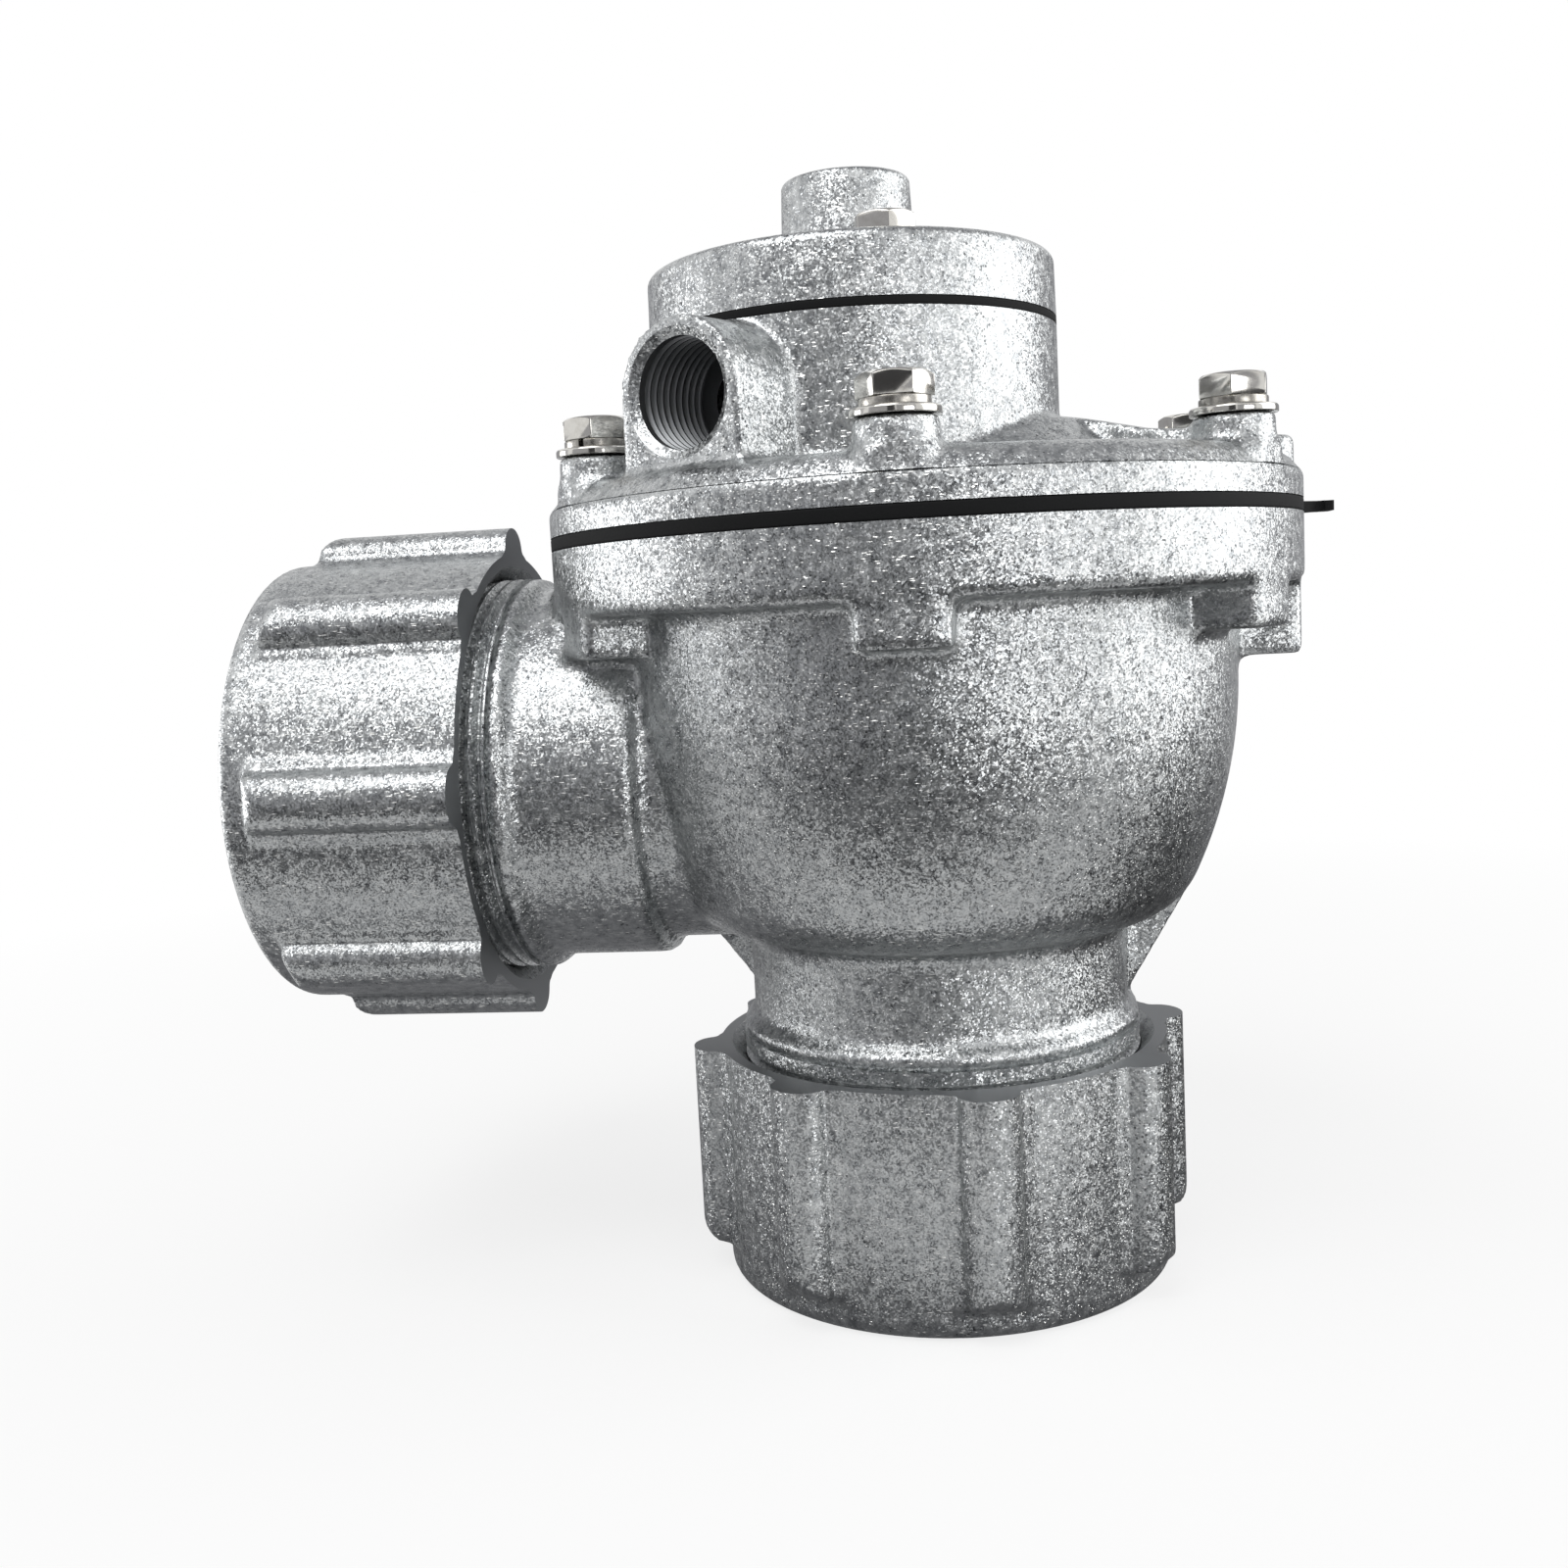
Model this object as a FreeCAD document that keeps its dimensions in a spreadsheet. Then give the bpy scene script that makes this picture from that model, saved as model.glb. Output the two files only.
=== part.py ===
"""Right-angle pulse jet diaphragm valve with compression nuts for 1 1/2 inch pipe.

The valve stands on its outlet nut. +Z runs up the main axis, the inlet points to -X, and
the origin is the centre of the hole in the outlet nut's end. Lengths are millimetres.

The main diaphragm is clamped between the body and the bonnet. Its web sits on the seat, the
top of a tube inside the bowl. The pilot diaphragm is clamped between the bonnet and the cap,
and its web closes the nozzle that leads to the exhaust port.
"""
import FreeCAD
import Part
import Sketcher

import math
import os

V = FreeCAD.Vector

# Every size that can be set by itself: name, value.
SIZES = {
    # the flange joint
    "joint_height": 119.0,
    "flange_width": 13.8,
    "bolt_circle_inset": 6.0,
    "bolt_count": 6,
    "main_diaphragm_thickness": 2.1,
    # the body
    "body_flange_thickness": 10.0,
    "flange_edge_round": 1.2,
    "annulus_width": 19.2,
    "bowl_wall": 4.0,
    "bowl_side_depth": 25.5,
    "bowl_side_curve": 90.0,
    "bowl_shoulder_inset": 6.3,
    "bowl_shoulder_depth": 55.0,
    "bowl_corner_curve": 12.0,
    "bowl_floor_depth": 62.6,
    "bowl_floor_round": 2.5,
    "lug_width": 12.6,
    "lug_drop": 6.2,
    "lug_round": 1.6,
    "lug_inset": 0.15,
    "end_lug_width": 11.0,
    "end_lug_drop": 11.0,
    "gusset_thickness": 5.0,
    "gusset_offset": 4.0,
    "gusset_reach": 12.5,
    "gusset_foot": 14.5,
    # the two necks
    "neck_wall": 5.3,
    "neck_thread_rise": 1.9,
    "neck_thread_pitch": 2.0,
    "neck_thread_depth": 1.1,
    "neck_band": 2.0,
    "outlet_thread_length": 28.9,
    "inlet_thread_length": 30.0,
    "inlet_cover": 7.3,
    "inlet_stand": 55.6,
    "inlet_collar_length": 19.5,
    "inlet_throat_inset": 2.5,
    "inlet_bore_inset": 1.65,
    # the pipe that each neck takes
    "pipe_radius": 24.15,
    "nut_hole_clearance": 0.45,
    "socket_clearance": 0.65,
    "socket_depth": 36.0,
    "socket_bevel_depth": 7.0,
    "socket_bevel_flare": 4.2,
    # the main seat
    "seat_depth": 8.0,
    "seat_bore_inset": 2.65,
    "seat_wall": 3.5,
    # the compression nuts
    "nut_length": 37.0,
    "nut_wall": 3.0,
    "nut_end_wall": 5.0,
    "nut_end_round": 1.6,
    "nut_mouth_chamfer": 2.0,
    "nut_thread_clearance": 0.2,
    "nut_thread_depth": 0.9,
    "nut_to_neck_end": 7.0,
    "rib_count": 8,
    "rib_width": 11.0,
    "rib_rise": 4.4,
    "rib_end_gap": 5.0,
    "rib_end_round": 3.4,
    "outlet_rib_turn": 12.6,
    "inlet_rib_turn": -1.0,
    "slip_ring_thickness": 2.0,
    "slip_ring_play": 0.5,
    "gland_play": 0.2,
    "gland_nose": 6.3,
    # the bonnet
    "bonnet_rim": 3.8,
    "bonnet_seam": 0.6,
    "bonnet_plate": 7.2,
    "bonnet_shoulder_width": 5.0,
    "bonnet_shoulder_curve": 5.5,
    "cone_foot_wall": 7.8,
    "cone_top_wall": 2.3,
    "cone_height": 13.2,
    "ceiling_height": 10.0,
    "ceiling_gap": 1.2,
    "annulus_height": 3.6,
    "bolt_boss_radius": 5.6,
    "bolt_boss_height": 11.0,
    "post_radius": 4.0,
    "post_inset": 4.5,
    "post_height": 10.0,
    "web_width": 7.0,
    # the pilot chamber, off the main axis
    "pilot_x": -8.7,
    "pilot_y": -7.5,
    "pilot_inset": 27.2,
    "pilot_face_height": 27.4,
    "pilot_wall": 12.3,
    "pilot_chamber_depth": 4.0,
    "pilot_seat_drop": 2.0,
    "nozzle_radius": 8.0,
    "nozzle_bore_radius": 5.0,
    "transfer_wall": 1.65,
    "transfer_spread": 55.0,
    # the exhaust port
    "port_turn": 29.6,
    "port_height": 17.0,
    "port_stand": 11.1,
    "port_arch_radius": 10.2,
    "port_minor_radius": 7.48,
    "port_thread_depth": 0.85,
    "port_thread_pitch": 1.337,
    "port_thread_length": 14.0,
    "port_passage_radius": 4.5,
    # the cap
    "cap_height": 9.2,
    "cap_edge_round": 1.6,
    "cap_chamber_height": 6.2,
    "cap_bolt_inset": 6.9,
    "cap_bolt_count": 3,
    "cap_bolt_turn": 17.0,
    "cap_boss_radius": 9.67,
    "cap_boss_height": 13.2,
    "cap_boss_round": 1.0,
    "cap_port_minor_radius": 5.72,
    "cap_port_thread_depth": 0.85,
    "cap_port_thread_pitch": 1.337,
    "cap_port_thread_length": 11.0,
    "cap_port_passage_radius": 4.0,
    # the diaphragms and what moves with them
    "bead_inset": 2.2,
    "flank_width": 12.0,
    "main_web_thickness": 2.0,
    "tab_width": 5.0,
    "tab_base_width": 10.0,
    "tab_reach": 5.0,
    "bleed_radius": 1.5,
    "support_disc_inset": 4.0,
    "support_disc_thickness": 2.0,
    "clamp_disc_gap": 2.0,
    "clamp_disc_thickness": 1.8,
    "centre_screw_radius": 3.0,
    "centre_screw_flats": 10.0,
    "centre_screw_head": 4.0,
    "centre_nut_height": 3.2,
    "screw_clearance": 0.2,
    "main_spring_wire": 1.4,
    "main_spring_inset": 8.2,
    "main_spring_turns": 3.5,
    "main_spring_taper": 22.0,
    "pilot_diaphragm_thickness": 1.3,
    "pilot_bead_inset": 1.5,
    "pilot_flank_width": 4.0,
    "pilot_disc_inset": 2.0,
    "pilot_disc_thickness": 1.2,
    "pilot_clamp_radius": 4.0,
    "pilot_clamp_thickness": 0.9,
    "rivet_radius": 1.5,
    "rivet_head_radius": 2.8,
    "rivet_head_height": 1.0,
    "pilot_spring_wire": 0.8,
    "pilot_spring_inset": 4.0,
    "pilot_spring_turns": 3.0,
    "spring_end_gap": 0.15,
    # the fasteners
    "bolt_radius": 3.0,
    "bolt_hole_clearance": 0.35,
    "bolt_thread_clearance": 0.05,
    "bolt_flats": 8.8,
    "bolt_head_height": 3.2,
    "bolt_length": 25.0,
    "tapped_hole_spare": 2.0,
    "washer_radius": 6.0,
    "washer_thickness": 1.1,
    "spring_washer_radius": 4.7,
    "spring_washer_thickness": 1.2,
    "spring_washer_slit": 1.2,
    "washer_clearance": 0.2,
    "cap_bolt_radius": 2.5,
    "cap_bolt_flats": 8.0,
    "cap_bolt_head_height": 2.8,
    "cap_bolt_length": 20.0,
}


class Size:
    """A size as text for the document's expressions, with its number now."""

    def __init__(self, text, value):
        self.text = text
        self.value = value

    def __add__(self, other):
        other = as_size(other)
        return Size(f"({self.text} + {other.text})", self.value + other.value)

    def __radd__(self, other):
        return as_size(other) + self

    def __sub__(self, other):
        other = as_size(other)
        return Size(f"({self.text} - {other.text})", self.value - other.value)

    def __rsub__(self, other):
        return as_size(other) - self

    def __mul__(self, other):
        other = as_size(other)
        return Size(f"({self.text} * {other.text})", self.value * other.value)

    def __rmul__(self, other):
        return as_size(other) * self

    def __truediv__(self, other):
        other = as_size(other)
        return Size(f"({self.text} / {other.text})", self.value / other.value)

    def __rtruediv__(self, other):
        return as_size(other) / self

    def __neg__(self):
        return Size(f"(0 - {self.text})", -self.value)


def as_size(number):
    """A plain number is a size too."""
    if isinstance(number, Size):
        return number
    return Size(f"({number})", float(number))


def sine(angle):
    """Sine of an angle in degrees."""
    angle = as_size(angle)
    return Size(f"sin({angle.text})", math.sin(math.radians(angle.value)))


def cosine(angle):
    """Cosine of an angle in degrees."""
    angle = as_size(angle)
    return Size(f"cos({angle.text})", math.cos(math.radians(angle.value)))


def root(number):
    """Square root."""
    return Size(f"sqrt({number.text})", math.sqrt(number.value))


class Sheet:
    """The document's spreadsheet of driving sizes, each read as sheet.name."""

    def __init__(self, doc):
        self.cells = doc.addObject("Spreadsheet::Sheet", "Sizes")
        for row, (name, value) in enumerate(SIZES.items(), start=1):
            self.cells.set(f"A{row}", name)
            self.cells.set(f"B{row}", str(value))
            self.cells.setAlias(f"B{row}", name)
        doc.recompute()

    def __getattr__(self, name):
        return Size(f"Sizes.{name}", float(self.cells.get(name)))


doc = FreeCAD.newDocument("pulse_jet_valve")
s = Sheet(doc)

# Sizes that several pieces share, worked out from the sheet. The pipe sets the radii.
socket_radius = s.pipe_radius + s.socket_clearance
neck_radius = socket_radius + s.neck_wall
thread_radius = neck_radius + s.neck_thread_rise
socket_bevel_radius = socket_radius + s.socket_bevel_flare
inlet_bore_radius = s.pipe_radius - s.inlet_bore_inset
seat_bore_radius = s.pipe_radius - s.seat_bore_inset
seat_outer_radius = seat_bore_radius + s.seat_wall
chamber_radius = seat_outer_radius + s.annulus_width
bowl_radius = chamber_radius + s.bowl_wall
flange_radius = chamber_radius + s.flange_width
bolt_circle_radius = flange_radius - s.bolt_circle_inset
nut_bore_radius = thread_radius + s.nut_thread_clearance
nut_radius = nut_bore_radius + s.nut_thread_depth + s.nut_wall
inlet_reach = bowl_radius + s.inlet_stand

# Radii of the main diaphragm and of what moves with it.
bead_radius = chamber_radius - s.bead_inset
web_radius = bead_radius - s.flank_width
bleed_circle_radius = (bead_radius + web_radius) / 2
support_disc_radius = web_radius - s.support_disc_inset
clamp_disc_radius = seat_bore_radius - s.clamp_disc_gap
ceiling_radius = support_disc_radius + s.ceiling_gap
main_spring_radius = ceiling_radius - s.main_spring_inset
cone_foot_radius = ceiling_radius + s.cone_foot_wall
cone_top_radius = ceiling_radius + s.cone_top_wall

# Radii round the pilot axis.
pilot_radius = flange_radius - s.pilot_inset
pilot_chamber_radius = pilot_radius - s.pilot_wall
cap_bolt_circle_radius = pilot_radius - s.cap_bolt_inset
pilot_bead_radius = pilot_chamber_radius - s.pilot_bead_inset
pilot_web_radius = pilot_bead_radius - s.pilot_flank_width
pilot_disc_radius = pilot_web_radius - s.pilot_disc_inset
pilot_spring_radius = pilot_disc_radius - s.pilot_spring_inset
transfer_radius = (pilot_chamber_radius - s.nozzle_radius) / 2 - s.transfer_wall
port_reach = pilot_radius + s.port_stand

# Heights.
body_top = s.joint_height - s.main_diaphragm_thickness
flange_bottom = body_top - s.body_flange_thickness
neck_end = s.nut_end_wall + s.nut_to_neck_end
inlet_depth = neck_radius + s.inlet_cover
inlet_height = s.joint_height - inlet_depth
seat_height = s.joint_height - s.seat_depth
web_top = seat_height + s.main_web_thickness
ceiling = s.joint_height + s.ceiling_height
boss_top = s.joint_height + s.bolt_boss_height
pilot_face = s.joint_height + s.pilot_face_height
pilot_seat = pilot_face - s.pilot_seat_drop
cap_bottom = pilot_face + s.pilot_diaphragm_thickness
pilot_ceiling = cap_bottom + s.cap_chamber_height
cap_top = cap_bottom + s.cap_height

# Fasteners.
bolt_hole_radius = s.bolt_radius + s.bolt_hole_clearance
cap_bolt_hole_radius = s.cap_bolt_radius + s.bolt_hole_clearance
bolt_turn = 360 / s.bolt_count
cap_bolt_step = 360 / s.cap_bolt_count


def bind(feature, **sizes):
    """Tie properties to sizes; a double underscore in a name stands for a dot."""
    for name, size in sizes.items():
        feature.setExpression(name.replace("__", "."), as_size(size).text)


def new_body(label, x=0, y=0, z=0):
    """An empty body of its own name, placed at a point."""
    body = doc.addObject("PartDesign::Body", label)
    body.Label = label
    body.AllowCompound = True
    bind(body, Placement__Base__x=x, Placement__Base__y=y, Placement__Base__z=z)
    return body


def new_sketch(body, role, x=0, y=0, z=0):
    """A sketch on one of the body's own planes, its origin moved in the plane's frame."""
    sketch = body.newObject("Sketcher::SketchObject", body.Label + "_outline")
    plane = [item for item in body.Origin.OriginFeatures if item.Role == role][0]
    sketch.AttachmentSupport = [(plane, "")]
    sketch.MapMode = "FlatFace"
    bind(
        sketch,
        AttachmentOffset__Base__x=x,
        AttachmentOffset__Base__y=y,
        AttachmentOffset__Base__z=z,
    )
    return sketch


def turn_sketch(sketch, axis, angle):
    """Turn a sketch's frame about an axis of the plane it lies on."""
    offset = sketch.AttachmentOffset
    sketch.AttachmentOffset = FreeCAD.Placement(offset.Base, FreeCAD.Rotation(axis, angle.value))
    bind(sketch, AttachmentOffset__Rotation__Angle=angle)


def tie_point(sketch, edge, end, x, y):
    """Tie an edge's end to a place in the sketch."""
    for kind, size in (("DistanceX", x), ("DistanceY", y)):
        size = as_size(size)
        if abs(size.value) < 1e-9:
            other = "PointOnObject"
            axis = -2 if kind == "DistanceX" else -1
            sketch.addConstraint(Sketcher.Constraint(other, edge, end, axis))
            continue
        number = sketch.addConstraint(Sketcher.Constraint(kind, -1, 1, edge, end, size.value))
        sketch.setExpression(f"Constraints[{number}]", size.text)


def arc_between(start, end, radius, bulge):
    """The shorter arc between two points, bulging to the left (1) or right (-1) of the way."""
    chord = end - start
    middle = start + chord * 0.5
    left = V(-chord.y, chord.x, 0).normalize()
    drop = math.sqrt(max(radius**2 - (chord.Length / 2) ** 2, 0.0))
    centre = middle - left * drop * bulge
    top = centre + left * radius * bulge
    return Part.Arc(start, top, end)


def outline(sketch, steps):
    """Draw a closed outline through points.

    A step is (x, y), reached by a line, or (x, y, radius, bulge), reached by an arc.
    """
    points = [V(as_size(step[0]).value, as_size(step[1]).value, 0) for step in steps]
    count = len(steps)
    for index, step in enumerate(steps):
        start = points[index - 1]
        end = points[index]
        if len(step) == 4:
            edge = arc_between(start, end, as_size(step[2]).value, step[3])
        else:
            edge = Part.LineSegment(start, end)
        sketch.addGeometry(edge, False)
    starts = []
    ends = []
    for index, step in enumerate(steps):
        flipped = sketch.getPoint(index, 1).distanceToPoint(points[index]) < 1e-6
        starts.append(2 if flipped else 1)
        ends.append(1 if flipped else 2)
    for index, step in enumerate(steps):
        following = (index + 1) % count
        joined = Sketcher.Constraint("Coincident", index, ends[index], following, starts[following])
        sketch.addConstraint(joined)
        tie_point(sketch, index, ends[index], step[0], step[1])
        if len(step) == 4:
            radius = as_size(step[2])
            number = sketch.addConstraint(Sketcher.Constraint("Radius", index, radius.value))
            sketch.setExpression(f"Constraints[{number}]", radius.text)
    return sketch


def circle(sketch, radius, x=0, y=0):
    """Draw a circle tied to its radius and its centre."""
    x = as_size(x)
    y = as_size(y)
    radius = as_size(radius)
    edge = sketch.addGeometry(Part.Circle(V(x.value, y.value, 0), V(0, 0, 1), radius.value), False)
    number = sketch.addConstraint(Sketcher.Constraint("Radius", edge, radius.value))
    sketch.setExpression(f"Constraints[{number}]", radius.text)
    tie_point(sketch, edge, 3, x, y)
    return sketch


def add_feature(body, kind, sketch):
    """A sketch-based feature of a body."""
    feature = body.newObject("PartDesign::" + kind, f"{body.Label}_{kind}")
    feature.Profile = sketch
    sketch.Visibility = False
    return feature


def finish_cut(body, feature, before):
    """Recompute a cut and make sure that it removed something."""
    doc.recompute()
    if before - body.Shape.Volume < 0.01:
        raise RuntimeError(f"{feature.Label} removes nothing")
    return feature


def pad(body, sketch, length, reverse=False):
    """Extrude a sketch."""
    feature = add_feature(body, "Pad", sketch)
    feature.Reversed = reverse
    bind(feature, Length=length)
    doc.recompute()
    return feature


def pocket(body, sketch, length, reverse=False):
    """Cut a sketch's shape out, against the sketch's normal unless reversed."""
    before = body.Shape.Volume
    feature = add_feature(body, "Pocket", sketch)
    feature.Reversed = reverse
    bind(feature, Length=length)
    return finish_cut(body, feature, before)


def revolve(body, sketch, axis="V_Axis"):
    """Turn a sketch all the way round an axis of its own."""
    feature = add_feature(body, "Revolution", sketch)
    feature.ReferenceAxis = (sketch, [axis])
    feature.Angle = 360
    doc.recompute()
    return feature


def groove(body, sketch, axis="V_Axis"):
    """Cut what a sketch sweeps round an axis of its own."""
    before = body.Shape.Volume
    feature = add_feature(body, "Groove", sketch)
    feature.ReferenceAxis = (sketch, [axis])
    feature.Angle = 360
    return finish_cut(body, feature, before)


def polar(body, features, count):
    """Repeat features evenly round the body's own Z axis."""
    pattern = body.newObject("PartDesign::PolarPattern", body.Label + "_pattern")
    pattern.Originals = features
    axis = [item for item in body.Origin.OriginFeatures if item.Role == "Z_Axis"][0]
    pattern.Axis = (axis, [""])
    pattern.Angle = 360
    bind(pattern, Occurrences=count)
    body.Tip = pattern
    doc.recompute()
    return pattern


def round_edges(body, radius, chosen):
    """Round the edges that a test picks."""
    base = body.Tip
    names = [f"Edge{i}" for i, edge in enumerate(base.Shape.Edges, start=1) if chosen(edge)]
    if not names:
        raise RuntimeError(f"{body.Label}: no edge to round")
    feature = body.newObject("PartDesign::Fillet", body.Label + "_round")
    feature.Base = (base, names)
    bind(feature, Radius=radius)
    doc.recompute()
    return feature


def is_ring(edge, radius, height, x=0.0, y=0.0):
    """Whether an edge is a level circle of this radius at this height."""
    curve = edge.Curve
    if not isinstance(curve, Part.Circle):
        return False
    centre = curve.Center
    near = abs(curve.Radius - radius.value) < 1e-3 and abs(centre.z - height.value) < 1e-3
    return near and math.hypot(centre.x - x, centre.y - y) < 1e-3


# Share of a thread's pitch that its notch takes; the rest is the crest's flat.
NOTCH_SHARE = 0.7


def comb(first, last, pitch, clear, root_radius):
    """Points of a row of V notches between two places along an axis.

    clear is a radius beyond the crests, root_radius the notches' depth.
    """
    crest = clear[0]
    beyond = clear[1]
    count = int((last.value - first.value) / pitch.value)
    points = [(first, beyond)]
    for turn in range(count):
        start = first + pitch * turn
        points.append((start, crest))
        points.append((start + pitch * NOTCH_SHARE / 2, root_radius))
        points.append((start + pitch * NOTCH_SHARE, crest))
    points.append((first + pitch * count, crest))
    points.append((first + pitch * count, beyond))
    return points


# The revolved surfaces start and end on this line, clear of every lug.
SEAM_TURN = as_size(45)


def valve_body():
    """Flange, bowl, inlet neck, outlet neck and seat tube in one casting."""
    body = new_body("valve_body")
    side = s.joint_height - s.bowl_side_depth
    shoulder = s.joint_height - s.bowl_shoulder_depth
    floor = s.joint_height - s.bowl_floor_depth
    shoulder_radius = bowl_radius - s.bowl_shoulder_inset
    thread_top = neck_end + s.outlet_thread_length
    sketch = new_sketch(body, "XZ_Plane")
    turn_sketch(sketch, V(0, 1, 0), SEAM_TURN)
    outline(
        sketch,
        [
            (0, neck_end),
            (neck_radius, neck_end),
            (thread_radius, neck_end + s.neck_thread_rise / 2),
            (thread_radius, thread_top - s.neck_thread_rise / 2),
            (neck_radius, thread_top + s.neck_thread_rise / 2),
            (neck_radius, floor - s.bowl_floor_round),
            (neck_radius + s.bowl_floor_round, floor, s.bowl_floor_round, 1),
            (shoulder_radius, shoulder, s.bowl_corner_curve, -1),
            (bowl_radius, side, s.bowl_side_curve, -1),
            (bowl_radius, flange_bottom),
            (flange_radius, flange_bottom),
            (flange_radius, body_top),
            (0, body_top),
        ],
    )
    revolve(body, sketch)

    collar_start = inlet_reach - neck_end - s.inlet_thread_length - s.inlet_collar_length
    thread_start = collar_start + s.inlet_collar_length
    inlet_end = inlet_reach - neck_end
    throat_radius = neck_radius - s.inlet_throat_inset
    sketch = new_sketch(body, "XZ_Plane", y=inlet_height)
    outline(
        sketch,
        [
            (-seat_outer_radius, 0),
            (-seat_outer_radius, throat_radius),
            (-collar_start, throat_radius),
            (-collar_start, neck_radius),
            (-(thread_start - s.neck_thread_rise / 2), neck_radius),
            (-(thread_start + s.neck_thread_rise / 2), thread_radius),
            (-(inlet_end - s.neck_thread_rise / 2), thread_radius),
            (-inlet_end, neck_radius),
            (-inlet_end, 0),
        ],
    )
    revolve(body, sketch, "H_Axis")

    sketch = new_sketch(body, "XY_Plane", z=flange_bottom - s.lug_drop)
    lug_pad = pad(body, lug_outline(sketch, s.lug_width), s.lug_drop + s.flange_edge_round)
    polar(body, [lug_pad], s.bolt_count)
    sketch = new_sketch(body, "XY_Plane", z=flange_bottom - s.end_lug_drop)
    turn_sketch(sketch, V(0, 0, 1), as_size(90))
    pad(body, lug_outline(sketch, s.end_lug_width), s.end_lug_drop + s.flange_edge_round)

    foot = floor - s.gusset_foot
    sketch = new_sketch(body, "XZ_Plane", z=-(s.gusset_offset + s.gusset_thickness / 2))
    outline(
        sketch,
        [
            (-(neck_radius - s.bowl_wall), foot),
            (neck_radius - s.bowl_wall, foot),
            (neck_radius, foot),
            (neck_radius + s.gusset_reach, shoulder),
            (neck_radius, shoulder),
            (-neck_radius, shoulder),
            (-(neck_radius + s.gusset_reach / 2), inlet_height - throat_radius),
            (-neck_radius, foot),
        ],
    )
    pad(body, sketch, s.gusset_thickness)

    inner_shoulder = shoulder_radius - s.bowl_wall
    inner_floor = floor + s.bowl_wall
    inner_corner = s.bowl_corner_curve - s.bowl_wall
    stop = neck_end + s.socket_depth
    sketch = new_sketch(body, "XZ_Plane")
    outline(
        sketch,
        [
            (0, body_top + 1),
            (chamber_radius, body_top + 1),
            (chamber_radius, side),
            (inner_shoulder, shoulder, s.bowl_side_curve - s.bowl_wall, 1),
            (inner_shoulder - inner_corner, inner_floor, inner_corner * 1.1, 1),
            (seat_outer_radius, inner_floor),
            (seat_outer_radius, seat_height),
            (seat_bore_radius, seat_height),
            (seat_bore_radius, stop),
            (socket_radius, stop),
            (socket_radius, neck_end + s.socket_bevel_depth),
            (socket_bevel_radius, neck_end),
            (socket_bevel_radius, neck_end - 1),
            (0, neck_end - 1),
        ],
    )
    groove(body, sketch)

    sketch = new_sketch(body, "XZ_Plane", y=inlet_height)
    outline(
        sketch,
        [
            (-(seat_outer_radius + s.bowl_wall), 0),
            (-(seat_outer_radius + s.bowl_wall), inlet_bore_radius),
            (-(inlet_end - s.socket_depth), inlet_bore_radius),
            (-(inlet_end - s.socket_depth), socket_radius),
            (-(inlet_end - s.socket_bevel_depth), socket_radius),
            (-inlet_end, socket_bevel_radius),
            (-(inlet_end + 1), socket_bevel_radius),
            (-(inlet_end + 1), 0),
        ],
    )
    groove(body, sketch, "H_Axis")

    neck_threads(body, thread_top, thread_start, inlet_end)

    depth = s.bolt_length - (boss_top - body_top) - s.washer_thickness - s.spring_washer_thickness
    sketch = new_sketch(body, "XY_Plane", z=body_top)
    circle(sketch, s.bolt_radius + s.bolt_thread_clearance, 0, -bolt_circle_radius)
    hole = pocket(body, sketch, depth + s.tapped_hole_spare)
    polar(body, [hole], s.bolt_count)
    return body


def lug_outline(sketch, width):
    """A lug with straight sides, rounded corners and an outer face just inside the rim."""
    half = width / 2
    flat = half - s.lug_round
    reach = flange_radius - s.lug_inset
    side = root(reach * reach - half * half) - s.lug_round
    crown = root(reach * reach - flat * flat)
    start = chamber_radius + s.bowl_wall / 2
    steps = [
        (half, -start),
        (-half, -start),
        (-half, -side),
        (-flat, -crown, s.lug_round, -1),
        (flat, -crown, reach, -1),
        (half, -side, s.lug_round, -1),
    ]
    return outline(sketch, steps)


def neck_threads(body, thread_top, thread_start, inlet_end):
    """Thread rings on both necks, short of a plain band at their inner ends."""
    root_radius = thread_radius - s.neck_thread_depth
    clear = (thread_radius, thread_radius + 1)
    last = thread_top - s.neck_band
    sketch = new_sketch(body, "XZ_Plane")
    rows = comb(neck_end + 1, last, s.neck_thread_pitch, clear, root_radius)
    outline(sketch, [(radius, place) for place, radius in rows])
    groove(body, sketch)
    sketch = new_sketch(body, "XZ_Plane", y=inlet_height)
    rows = comb(thread_start + s.neck_band, inlet_end - 1, s.neck_thread_pitch, clear, root_radius)
    outline(sketch, [(-place, radius) for place, radius in rows])
    groove(body, sketch, "H_Axis")


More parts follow.
